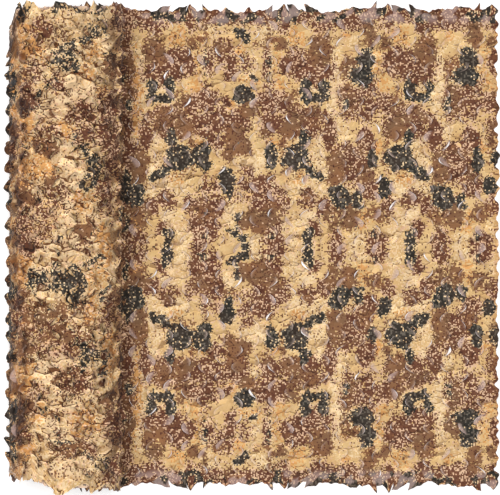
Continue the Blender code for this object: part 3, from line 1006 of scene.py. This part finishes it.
def print_level(nodes, value, clump, shares, leaf_value, ruffle):
    """The cover at which a square takes an ink, from its random value, clump and leaf."""
    random_share, clump_share = shares
    part = nodes.math("MULTIPLY", nodes.math("SUBTRACT", value, 0.5), random_share)
    part = nodes.math("ADD", part, nodes.math("MULTIPLY", clump, clump_share))
    part = nodes.math("ADD", part, 0.5)
    step = nodes.math("MULTIPLY", nodes.math("SUBTRACT", leaf_value, 0.5), ruffle)
    return nodes.math("ADD", part, nodes.math("MULTIPLY", step, LEAF_CONTRAST))


def stray_squares(nodes, printed, share, value, patch, colour):
    """Single squares of another colour inside a solid patch."""
    stray = nodes.math("MULTIPLY", nodes.math("GREATER_THAN", share, value), patch)
    return nodes.mix(stray, printed, colour)


def print_inks(nodes, colours, cloth_map, places, leaf, ruffle):
    """All inks over each other, each where its cover is over the level of the square."""
    fine, fine_clump = print_squares(nodes, places, *FINE_SQUARES)
    other, other_clump = print_squares(nodes, places, *OTHER_SQUARES)
    dither = print_level(nodes, fine[0], fine_clump, CREAM_LEVEL, leaf[0], ruffle)
    dither_other = print_level(nodes, other[0], other_clump, OCHRE_LEVEL, leaf[1], ruffle)
    solid = print_level(nodes, fine[1], fine_clump, BROWN_LEVEL, leaf[2], ruffle)
    solid_other = print_level(nodes, other[1], other_clump, BLACK_LEVEL, leaf[0], ruffle)

    inputs = {"Vector": cloth_map, "Scale": WORN_PER_METRE, "Detail": 3.0}
    worn = nodes.spread(nodes.add("TexNoise", inputs).outputs[0], *WORN_FADE)
    half = nodes.math("MULTIPLY", worn, nodes.math("MULTIPLY", fine[2], GROUND_CREAM))
    printed = nodes.mix(half, colours.sand, colours.cream)
    cream = nodes.math("GREATER_THAN", nodes.mark("cream"), dither)
    printed = nodes.mix(cream, printed, colours.cream)
    ochre = nodes.math("GREATER_THAN", nodes.mark("ochre"), dither_other)
    printed = nodes.mix(ochre, printed, colours.ochre)

    speckle = nodes.mark("speckle")
    blush = nodes.math("MULTIPLY", speckle, BLUSH_FULL)
    blush = nodes.math("GREATER_THAN", blush, dither_other)
    printed = nodes.mix(blush, printed, colours.blush)
    mild = nodes.math("MULTIPLY", other[2], SPECKLE_BROWN)
    reds = nodes.mix(mild, colours.red_brown, colours.brown)
    grain = nodes.math("MINIMUM", nodes.math("MULTIPLY", speckle, SPECKLE_FULL), SPECKLE_MOST)
    printed = nodes.mix(nodes.math("GREATER_THAN", grain, dither), printed, reds)

    earth = nodes.mix(worn, colours.brown, colours.umber)
    brown = nodes.math("GREATER_THAN", nodes.mark("brown"), solid)
    printed = nodes.mix(brown, printed, earth)
    printed = stray_squares(nodes, printed, STRAY_RED, fine[2], brown, colours.red_brown)
    printed = stray_squares(nodes, printed, STRAY_PALE, other[2], brown, colours.blush)
    black = nodes.mark("black")
    dusk = nodes.mix(worn, colours.black, colours.dusk)
    dark = nodes.math("GREATER_THAN", black, solid_other)
    printed = nodes.mix(dark, printed, dusk)
    printed = stray_squares(nodes, printed, STRAY_GREY, other[0], dark, colours.smoke)
    around = nodes.math("GREATER_THAN", black, DOTS_AROUND)
    rare = nodes.math("ADD", nodes.math("MULTIPLY", black, DOTS_FEWER), DOTS_RARE)
    dots = nodes.math("MULTIPLY", around, nodes.math("GREATER_THAN", fine[2], rare))
    printed = nodes.mix(dots, printed, colours.cream)
    back = nodes.add("NewGeometry", {}).outputs["Backfacing"]
    return nodes.mix(nodes.math("MULTIPLY", back, REVERSE_SHOWS), printed, colours.reverse)


def shade_cuts(nodes, printed, folds, facets, ruffle, colours):
    """The print darkened by painted shade in the hollows, on some leaves and below each leaf's
    brow, and by painted shadow beside the cuts, with painted highlights on the leaves' raised
    edges and the cuts' rims, and the turned leaves.
    """
    leaf, side, _, cleft_shadow, raised = facets
    # Painted shade: in the hollows between creases, where the shade mark says, on dim leaves and
    # below each leaf's brow
    hollow = nodes.math("MULTIPLY", nodes.spread(folds, *HOLLOW_FADE), ruffle)
    deep = nodes.math("MAXIMUM", hollow, nodes.mark("shade"))
    # Painted shade on whole leaves by their random value, and down each leaf below its brow
    dim_leaf = nodes.math("MULTIPLY", nodes.spread(leaf[1], *LEAF_DIM), ruffle)
    deep = nodes.math("MAXIMUM", deep, dim_leaf)
    fall = nodes.math("MULTIPLY", nodes.spread(side, *LEAF_FALL), ruffle)
    deep = nodes.math("MAXIMUM", deep, fall)
    printed = nodes.mix(deep, printed, HOLLOW_SHADE, "MULTIPLY")
    # Painted shadow beside the cuts, between the flank's hanging leaves and below leaves
    deep_shadow = nodes.math("MAXIMUM", nodes.mark("deep_shadow"), cleft_shadow)
    printed = nodes.mix(deep_shadow, printed, SLIT_SHADE, "MULTIPLY")
    # Painted highlight on each leaf's raised edge
    printed = nodes.mix(raised, printed, (LEAF_EDGE_HIGHLIGHT, LEAF_EDGE_HIGHLIGHT, LEAF_EDGE_HIGHLIGHT), "MULTIPLY")
    # Painted highlight along the cut rims
    rim = nodes.math("MULTIPLY", nodes.mark("rim"), RIM_SHOWS)
    printed = nodes.mix(rim, printed, colours.rim)
    turned = nodes.math("MULTIPLY", nodes.mark("turned"), TURNED_SHOWS)
    return nodes.mix(turned, printed, colours.reverse)


def cloth_relief(nodes, cloth_map, folds, tilt):
    """The weave, the fine creases and the tilt of the leaves, as one normal."""
    inputs = {"Vector": cloth_map, "Scale": WEAVE_PER_METRE, "Mortar Size": 0.03}
    normal = None
    for height, strength, depth in (
        (nodes.add("TexBrick", inputs).outputs["Fac"], WEAVE_STRENGTH, WEAVE_DEPTH),
        (folds, 1.0, CREASE_DEPTH),
        (tilt, 1.0, LEAF_HEIGHT),
    ):
        inputs = {"Height": height, "Strength": strength, "Distance": depth, "Normal": normal}
        normal = nodes.add("Bump", inputs).outputs[0]
    return normal


def cloth_material(colours):
    """The printed cloth: square speckles of each ink, woven, with a pale reverse."""
    name = "net_cloth"
    if name in bpy.data.materials:
        return bpy.data.materials[name]
    material = bpy.data.materials.new(name)
    material.use_nodes = True
    nodes = ClothNodes(material.node_tree)
    shader, output = (nodes.tree.nodes[name] for name in ("Principled BSDF", "Material Output"))
    cloth_map = nodes.add("UVMap", {}, uv_map="cloth").outputs[0]
    ruffle = nodes.mark("ruffle")
    facets = leaf_facets(nodes, cloth_map, ruffle)
    places = chart_places(nodes, cloth_map)
    printed = print_inks(nodes, colours, cloth_map, places, facets[0], ruffle)
    inputs = {"Vector": cloth_map, "Scale": FOLDS_PER_METRE, "Detail": 6.0, "Roughness": 0.62}
    folds = nodes.add("TexNoise", inputs).outputs[0]
    finish = {
        "Base Color": shade_cuts(nodes, printed, folds, facets, ruffle, colours),
        "Normal": cloth_relief(nodes, cloth_map, folds, facets[2]),
        "Roughness": 0.72,
        "Sheen Weight": 0.05,
        "Sheen Roughness": 0.5,
        "Specular IOR Level": 0.22,
    }
    for socket, value in finish.items():
        nodes.fill(shader.inputs[socket], value)
    nodes.lay_out((shader, output))
    return material


# ---------------------------------------------------------------- the pieces


def laid_height(x, y):
    """Height of the lying cloth, all low close to the roll."""
    height = np.zeros(len(x))
    for wave in WAVES:
        turn = 2.0 * math.pi * ((x + wave["skew"] * y) / wave["spacing"] + wave["shift"])
        height += wave["height"] * 0.5 * (1.0 + np.sin(turn))
    swell = smooth_field(np.column_stack((x, y)), "lie")
    height += LIE_SWELL * (1.0 + swell[:, 0])
    return height * ease(LOW_UNTIL, FREE_FROM, x)


def frayed_edge(cloth, flat, field, reach):
    """How far the points of the last rows stand out, for the frayed line of a cut edge."""
    at_edge = np.clip(1.0 - cloth.from_edge() / FRAYED_ROWS, 0.0, 1.0)
    return reach * at_edge * smooth_field(flat, field)[:, 0]


def edge_side(flat):
    """1 for points on the far half of the net, -1 for those on the near half."""
    return np.where(flat[:, 1] > 0.0, 1.0, -1.0)


def length_places(cloth, opened, tongues, tile, half_width):
    """Where each point of the pulled-out length lies, creased, frayed and scalloped."""
    flat, x, y, lift = opened
    out, lean, curl = tongues
    free = ease(SPOT, LOW_UNTIL, flat[:, 0])
    fray = frayed_edge(cloth, flat, "length_fray", LENGTH_FRAY)
    back = WAIST_DEPTH * np.exp(-(((flat[:, 0] - WAIST_AT) / WAIST_LONG) ** 2))
    from_middle = (np.abs(flat[:, 1]) / half_width) ** 6
    y = y + edge_side(flat) * (out + fray - back * from_middle)
    x = x + lean * free
    lift = lift + curl
    wander = smooth_field(flat, "length_wander")
    x = x + LENGTH_WANDER * wander[:, 0] * free
    y = y + LENGTH_WANDER * wander[:, 1]
    crumple = smooth_field(flat, "length_crumple")
    creases = smooth_field(flat, "length_creases")
    lift = lift + LENGTH_CRUMPLE * (0.4 + crumple[:, 0]) + LENGTH_CREASE * creases[:, 0]
    lift = lift + LENGTH_TILE * STEP * LENGTH_TILT * (tile[2] * tile[0] + tile[3] * tile[1])
    lift = np.maximum(lift, 0.0)
    last = ease(1.0, 0.0, (cloth.columns - cloth.column) / SCALLOPED_COLUMNS)
    scallop = np.abs(np.sin(math.pi * flat[:, 1] / SCALLOP_PITCH + 0.6))
    ragged = smooth_field(flat, "length_ragged")
    x = x + last * (SCALLOP_REACH * scallop - SCALLOP_BACK + SCALLOP_RAGGED * ragged[:, 0])
    lift = lift + last * SCALLOP_LIFT * np.abs(ragged[:, 1])
    lift = lift * (0.25 + 0.75 * free)
    z = CLOTH_LOWEST + laid_height(flat[:, 0], flat[:, 1]) + lift
    return np.stack((x, y, z), 1)


def length_covers(flat, tile, marks, half_width):
    """The inks of the pulled-out length and its marks, with painted shade by the roll, along the
    cut edges and on some leaves; the rims fade by the roll, and along the sides runs a band of
    darker inks and turned leaves.
    """
    covers = repeat_print(
        flat[:, 0] / STEP + CHART_COLUMN_AT_ORIGIN + LENGTH_SLIP * tile[2],
        CHART_ROW_AT_ORIGIN - flat[:, 1] / STEP + LENGTH_SLIP * tile[3],
    )
    from_side = half_width - np.abs(flat[:, 1])
    from_cut = np.minimum(from_side, LAID_LENGTH + SPOT - flat[:, 0])
    band = ease(*SIDE_BAND, from_side)
    turned = 0.8 * band * ease(0.35, 0.5, tile[2])
    # Painted shade by the roll and along the cut edges
    shade = np.maximum(0.25 * ease(*ROLL_SHADE, flat[:, 0]), 0.5 * ease(*CUT_SHADE, from_cut))
    covers["black"] = np.maximum(covers["black"], 1.1 * band * ease(0.45, 0.6, tile[4]))
    covers["speckle"] = np.maximum(covers["speckle"], 0.7 * band)
    covers["deep_shadow"] = 0.45 * marks["deep_shadow"]
    covers["ruffle"] = np.full(len(flat), LENGTH_RUFFLE)
    covers["rim"] = marks["rim"] * ease(*RIM_FADE, flat[:, 0])
    covers["turned"] = np.maximum(marks["turned"], turned)
    # Painted shade also on some whole leaves, by their random value
    covers["shade"] = np.maximum(shade, 0.36 * np.clip(tile[4], 0.0, 1.0) ** 1.5)
    return covers


def make_laid_length(sizes, colours):
    """The length that lies flat, from the line under the roll to the free cut end."""
    columns = PART_COLUMNS + WHOLE_LEAVES * LEAF_COLUMNS
    lines = list(range(PART_COLUMNS, columns, LEAF_COLUMNS))
    first_index = math.floor((SPOT - FOLD_X) / LEAF_PITCH)
    leaves = {
        **LENGTH_LEAVES,
        "bulge": sizes.cut_bulge,
        "curled": sizes.length_curl,
        "hang": np.zeros(len(lines) + 2),
    }
    plan = CutPlan(lines, columns, CLOTH_ROWS, leaves)
    cloth = FlatCloth(plan, columns, CLOTH_ROWS)
    line_x = FOLD_X + LEAF_PITCH * (np.arange(len(plan.lines)) + first_index)
    line_x[0] = SPOT + SPLIT_GAP
    plan.bend *= (0.35 + 0.65 * ease(*BEND_FADE, line_x))[:, None]
    *opened, marks = open_leaves(cloth, plan, line_x, sizes.net_width, sizes.length_root)
    flat = opened[0]
    tongues = edge_tongues(cloth, first_index, EDGE_TONGUES)
    tile = leaf_tiles(flat[:, 0] / STEP, flat[:, 1] / STEP, LENGTH_TILE, seed=2.0)
    points = length_places(cloth, opened, tongues, tile, sizes.net_width / 2.0)
    covers = length_covers(flat, tile, marks, sizes.net_width / 2.0)
    piece = finish_cloth("laid_length", cloth, points, flat, covers, colours)
    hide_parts("net_length")
    return piece


class WoundLine:
    """The line that the wound cloth follows, seen along the roll, from the split line inward."""

    def __init__(self, radius, turn_gap, turns, first_turn):
        sag = radius - math.sqrt(radius**2 - SPOT**2)
        self.centre = radius - sag
        start = math.asin(SPOT / (radius - turn_gap))
        stops = []
        for turn in range(first_turn, first_turn + turns):
            outer = radius - turn_gap * turn
            if outer < SMALLEST_TURN:
                break
            for share in np.linspace(0.0, 1.0, STOPS_IN_TURN + 1)[:-1]:
                stops.append((-start + (2.0 * math.pi) * share, outer - turn_gap * share))
        angle, reach = np.array(stops).T.copy()
        z = self.centre - reach * np.cos(angle)
        x = -reach * np.sin(angle)
        z = np.maximum(z, CLOTH_LOWEST)
        x = x * (1.0 + WIDENING * np.clip(z / radius, 0.0, 1.0))
        self.points = np.stack((x, z), 1)
        steps = np.linalg.norm(np.diff(self.points, axis=0), axis=1)
        self.travel = np.concatenate(([0.0], np.cumsum(steps)))
        self.length = float(self.travel[-1])
        along = np.gradient(self.points, self.travel, axis=0)
        along /= np.linalg.norm(along, axis=1)[:, None]
        self.outward = np.stack((-along[:, 1], along[:, 0]), 1)

    def at(self, travel):
        """Place and outward direction at each distance along the line."""
        place = [np.interp(travel, self.travel, self.points[:, axis]) for axis in (0, 1)]
        out = [np.interp(travel, self.travel, self.outward[:, axis]) for axis in (0, 1)]
        return np.stack(place, 1), np.stack(out, 1)


def end_recess(x, y, width):
    """How far the roll's ends stand back on its left flank."""
    near = np.interp(x, NEAR_RECESS["at"], NEAR_RECESS["back"])
    far = np.interp(x, FAR_RECESS["at"], FAR_RECESS["back"])
    to_near = 1.0 - ease(-width / 2.0, -width / 2.0 + RECESS_LONG, y)
    to_far = ease(width / 2.0 - RECESS_LONG, width / 2.0, y)
    return near * to_near - far * to_far


def off_the_turns(place, outward, lift, y, width):
    """Points lifted off the wound line, with the roll's ends set back."""
    x = place[:, 0] + outward[:, 0] * lift
    z = place[:, 1] + outward[:, 1] * lift
    y = y + end_recess(x, y, width)
    return np.stack((x, y, np.maximum(z, CLOTH_LOWEST)), 1)


def turn_places(cloth, wound, opened, tongues, tile, width):
    """The wound line's place under each point of the outer turn, where the point itself lies, and
    how much it is in a hollow between creases, for the painted shade."""
    flat, u, y, lift = opened
    out, lean, curl = tongues
    field = smooth_field(flat, "turn_wander")
    rough = smooth_field(flat, "turn_rough")
    free = ease(*OFF_THE_FLOOR, wound.at(u)[0][:, 1])
    fray = frayed_edge(cloth, flat, "turn_fray", TURN_FRAY)
    y = y + edge_side(flat) * (out + fray) * free + TURN_WANDER * field[:, 1]
    u = u + (lean + TURN_WANDER * field[:, 0]) * free
    place, outward = wound.at(np.clip(u, 0.0, wound.length))
    on_right = ease(*RIGHT_FLANK, place[:, 0])
    on_left = ease(*LEFT_FLANK, place[:, 0])
    crumple = smooth_field(flat, "turn_crumple")
    creases = smooth_field(flat, "turn_creases")
    swell = TURN_ROUGH * rough[:, 2] + TURN_SWELL * (1.0 + field[:, 2]) + NIP_SWELL * on_right
    swell = swell + TURN_CRUMPLE * crumple[:, 2] + TURN_CREASE * creases[:, 2]
    swell = swell * (1.0 - 0.8 * on_left) - LEFT_DRAWN_IN * on_left
    tilted = TURN_TILT * tile[2] * tile[0] + TURN_TILT * tile[3] * tile[1]
    raised = ROLL_TILE * STEP * tilted + TURN_STEP * tile[4]
    swell = swell + raised * (1.0 - 0.6 * on_flanks(place))
    points = off_the_turns(place, outward, (lift + curl + swell) * free, y, width)
    # How far each point lies in a hollow between creases, for painted shade
    dip = TURN_CRUMPLE * crumple[:, 2] + HOLLOW_ROUGH * rough[:, 2]
    hollow = ease(0.0005, -0.0035, dip)
    return place, points, hollow


def on_flanks(place):
    """0 on the roll's top, 1 on its two flanks."""
    return ease(*BOTH_FLANKS, np.abs(place[:, 0]))


def turn_covers(flat, top, place, hollow, tile, marks, radius):
    """The inks of the outer turn and its marks, with painted shade in its hollows, on some leaves
    and over its left flank, painted shadow between the flank's leaves and down the far left side,
    and ochre on the left flank's leaf tips, partly print and partly painted warm bounce light.
    """
    covers = roll_print(
        flat[:, 0] - top + ROLL_SLIP * STEP * tile[2],
        CHART_ROW_AT_ORIGIN - flat[:, 1] / STEP + ROLL_SLIP * tile[3],
        radius,
    )
    sides = leaf_tiles((flat[:, 0] - top) / STEP, flat[:, 1] / STEP, FLANK_TILE, seed=9.0)
    on_right = ease(*RIGHT_FLANK, place[:, 0])
    on_left = ease(*LEFT_FLANK, place[:, 0])
    to_left = ease(*LEFT_SHOULDER, place[:, 0])
    near_flank = np.maximum(on_flanks(place), to_left)
    # Painted shadow between the flank's hanging leaves; ochre on the leaf tips between them,
    # partly print and partly painted warm bounce light; painted shade down the far left side
    gap_shadows = near_flank * ease(-0.10, 0.05, sides[4]) * ease(0.70, 0.46, np.hypot(*sides[:2]))
    tips = to_left * ease(0.05, -0.10, sides[4])
    at_side = ease(*LEFT_SIDE, place[:, 0]) * (1.0 - 0.8 * tips)
    # Painted shade on some leaves by their random value, and over the left flank
    dim = 0.18 * np.clip(tile[4], 0.0, 1.0) ** 1.5
    left_side = 0.28 * ease(*LEFT_SHADED, place[:, 0])
    covers["ochre"] = np.maximum(covers["ochre"], 0.70 * tips)
    covers["ruffle"] = 1.0 - 0.3 * on_flanks(place)
    covers["shade"] = np.maximum(np.maximum(0.16 * hollow, dim), left_side)
    covers["deep_shadow"] = np.maximum(np.maximum(marks["deep_shadow"], 0.92 * gap_shadows), 0.62 * at_side)
    # Painted highlight on the cut rims, fainter on the two flanks
    covers["rim"] = 0.5 * marks["rim"] * (1.0 - 0.8 * on_right) * (1.0 - 0.9 * on_left)
    covers["turned"] = marks["turned"]
    return covers


def make_outer_turn(sizes, colours):
    """The roll's outer turn, from the split line under the roll once round to the nip."""
    wound = WoundLine(sizes.roll_radius, sizes.turn_gap, 1, 0)
    columns = round(wound.length / LEAF_PITCH) * LEAF_COLUMNS
    lines = list(range(LEAF_COLUMNS, columns, LEAF_COLUMNS))
    line_u = np.linspace(0.0, wound.length, len(lines) + 2)
    across = wound.at(line_u)[0][:, 0]
    hang = np.where(across < -HANGING_FROM, -1.0, 0.0) + np.where(across > HANGING_FROM, 1.0, 0.0)
    leaves = {
        **TURN_LEAVES,
        "bulge": sizes.cut_bulge,
        "curled": sizes.roll_curl,
        "hang": hang,
    }
    plan = CutPlan(lines, columns, CLOTH_ROWS, leaves)
    cloth = FlatCloth(plan, columns, CLOTH_ROWS)
    *opened, marks = open_leaves(cloth, plan, line_u, sizes.net_width, sizes.roll_root)
    flat = opened[0]
    top = wound.travel[int(np.argmax(wound.points[:, 1]))]
    tongues = edge_tongues(cloth, 1, ROLL_TONGUES)
    tile = leaf_tiles((flat[:, 0] - top) / STEP, flat[:, 1] / STEP, ROLL_TILE, seed=4.0)
    place, points, hollow = turn_places(cloth, wound, opened, tongues, tile, sizes.net_width)
    covers = turn_covers(flat, top, place, hollow, tile, marks, sizes.roll_radius)
    cloth_flat = np.stack((SPOT - flat[:, 0], flat[:, 1]), 1)
    piece = finish_cloth("outer_turn", cloth, points, cloth_flat, covers, colours)
    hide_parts("net_roll")
    return piece


def make_inner_turns(sizes, colours):
    """The turns inside the outer one, as one long sheet with toothed ends."""
    wound = WoundLine(sizes.roll_radius, sizes.turn_gap, INNER_TURNS, 1)
    columns = round(wound.length / INNER_COLUMN)
    rows = 2 * (len(INNER_ROWS) - 1)
    cloth = FlatCloth(CutPlan([], columns, rows, {"seed": 31}), columns, rows)
    u = cloth.share * wound.length
    row_share = cloth.row / rows - 0.5
    from_end = np.interp(np.abs(row_share) * rows, range(len(INNER_ROWS)), INNER_ROWS)
    y = np.sign(row_share) * (1.0 - from_end) * sizes.net_width / 2.0
    flat = np.stack((u, y), 1)
    dice = np.random.default_rng(5)
    teeth = dice.uniform(*INNER_TEETH, columns + 1)[cloth.column]
    curled = dice.uniform(*INNER_CURL, columns + 1)[cloth.column]
    curled = curled * np.interp(cloth.from_edge(), (0, 1, 2), (1.0, 0.4, 0.0))
    ends = cloth.from_edge() == 0
    side = edge_side(flat)
    y = y + np.where(ends, side * teeth, 0.0) - side * INNER_BACK * (np.abs(row_share) > 0.35)
    place, outward = wound.at(u)
    field = smooth_field(flat, "inner_swell")
    lift = 0.004 + 0.0025 * field[:, 2] + curled
    lift = lift * ease(*OFF_THE_FLOOR, place[:, 1])
    points = off_the_turns(place, outward, lift, y, sizes.net_width)
    covers = repeat_print(flat[:, 0] / STEP, CHART_ROW_AT_ORIGIN - flat[:, 1] / STEP)
    # Painted highlight along the toothed cut ends
    covers["rim"] = np.where(ends, 0.8, 0.0)
    covers["ruffle"] = np.full(len(u), INNER_RUFFLE)
    piece = finish_cloth("inner_turns", cloth, points, flat, covers, colours)
    return piece


# ---------------------------------------------------------------- the stage


def make_stage():
    """A plain pale floor, soft overhead light and a camera straight above."""
    bm = bmesh.new()
    bmesh.ops.create_grid(bm, x_segments=1, y_segments=1, size=30.0)
    mesh = bpy.data.meshes.new("floor")
    bm.to_mesh(mesh)
    bm.free()
    floor = bpy.data.objects.new("floor", mesh)
    bpy.context.scene.collection.objects.link(floor)
    material = bpy.data.materials.new("floor_paper")
    material.use_nodes = True
    shader = material.node_tree.nodes["Principled BSDF"]
    shader.inputs["Base Color"].default_value = (0.93, 0.93, 0.93, 1.0)
    shader.inputs["Roughness"].default_value = 0.9
    shader.inputs["Emission Color"].default_value = (1.0, 1.0, 1.0, 1.0)
    shader.inputs["Emission Strength"].default_value = 0.30
    mesh.materials.append(material)

    world = bpy.data.worlds.new("soft_room")
    world.use_nodes = True
    background = world.node_tree.nodes["Background"]
    background.inputs["Color"].default_value = (1.0, 1.0, 1.0, 1.0)
    background.inputs["Strength"].default_value = 0.12
    bpy.context.scene.world = world

    lamp = bpy.data.lights.new("overhead", "SUN")
    lamp.angle = math.radians(48.0)
    lamp.energy = 3.4
    over = bpy.data.objects.new("overhead", lamp)
    over.location = (0.6, 0.0, 3.0)
    over.rotation_euler = (math.radians(-3.0), math.radians(-4.0), 0.0)
    bpy.context.scene.collection.objects.link(over)

    distance = 60.0
    lens = bpy.data.cameras.new("straight_above")
    lens.sensor_width = 36.0
    lens.lens = lens.sensor_width * distance / (PHOTO_WIDTH * STEP)
    lens.clip_start = 10.0
    lens.clip_end = 200.0
    camera = bpy.data.objects.new("straight_above", lens)
    camera.location = (
        (PHOTO_MIDDLE_COLUMN - CHART_COLUMN_AT_ORIGIN) * STEP,
        (CHART_ROW_AT_ORIGIN - PHOTO_MIDDLE_ROW) * STEP,
        distance,
    )
    bpy.context.scene.collection.objects.link(camera)
    bpy.context.scene.camera = camera
    bpy.context.scene.view_settings.view_transform = "Standard"


# ---------------------------------------------------------------- the add-on


class NETTING_OT_laid_length(bpy.types.Operator):
    """Build the length that lies flat"""

    bl_idname = "netting.laid_length"
    bl_label = "Laid Length"

    def execute(self, context):
        make_laid_length(context.scene.netting_sizes, context.scene.netting_colours)
        return {"FINISHED"}


class NETTING_OT_wound_turns(bpy.types.Operator):
    """Build the roll's outer turn and the turns inside it"""

    bl_idname = "netting.wound_turns"
    bl_label = "Wound Turns"

    def execute(self, context):
        make_outer_turn(context.scene.netting_sizes, context.scene.netting_colours)
        make_inner_turns(context.scene.netting_sizes, context.scene.netting_colours)
        return {"FINISHED"}


class NETTING_OT_stage(bpy.types.Operator):
    """Set up the floor, the light and the camera"""

    bl_idname = "netting.stage"
    bl_label = "Stage"

    def execute(self, context):
        make_stage()
        return {"FINISHED"}


class NETTING_PT_sidebar(bpy.types.Panel):
    """The netting's sizes, colours and pieces"""

    bl_label = "Camouflage Netting"
    bl_idname = "NETTING_PT_sidebar"
    bl_space_type = "VIEW_3D"
    bl_region_type = "UI"
    bl_category = "Netting"

    def draw(self, context):
        for group in (context.scene.netting_sizes, context.scene.netting_colours):
            box = self.layout.box()
            for name in group.bl_rna.properties.keys():
                if name not in {"rna_type", "name"}:
                    box.prop(group, name)
        for operator in OPERATORS:
            self.layout.operator(operator.bl_idname)


OPERATORS = (NETTING_OT_laid_length, NETTING_OT_wound_turns, NETTING_OT_stage)
CLASSES = (NettingSizes, NettingColours, *OPERATORS, NETTING_PT_sidebar)


def register():
    """Register the classes and hang their settings on the scene."""
    for item in CLASSES:
        bpy.utils.register_class(item)
    bpy.types.Scene.netting_sizes = bpy.props.PointerProperty(type=NettingSizes)
    bpy.types.Scene.netting_colours = bpy.props.PointerProperty(type=NettingColours)


def unregister():
    """Take the settings and the classes away again."""
    del bpy.types.Scene.netting_colours
    del bpy.types.Scene.netting_sizes
    for item in reversed(CLASSES):
        bpy.utils.unregister_class(item)


def main():
    """Build every piece and the stage."""
    register()
    bpy.ops.netting.laid_length()
    bpy.ops.netting.wound_turns()
    bpy.ops.netting.stage()


if __name__ == "__main__":
    main()
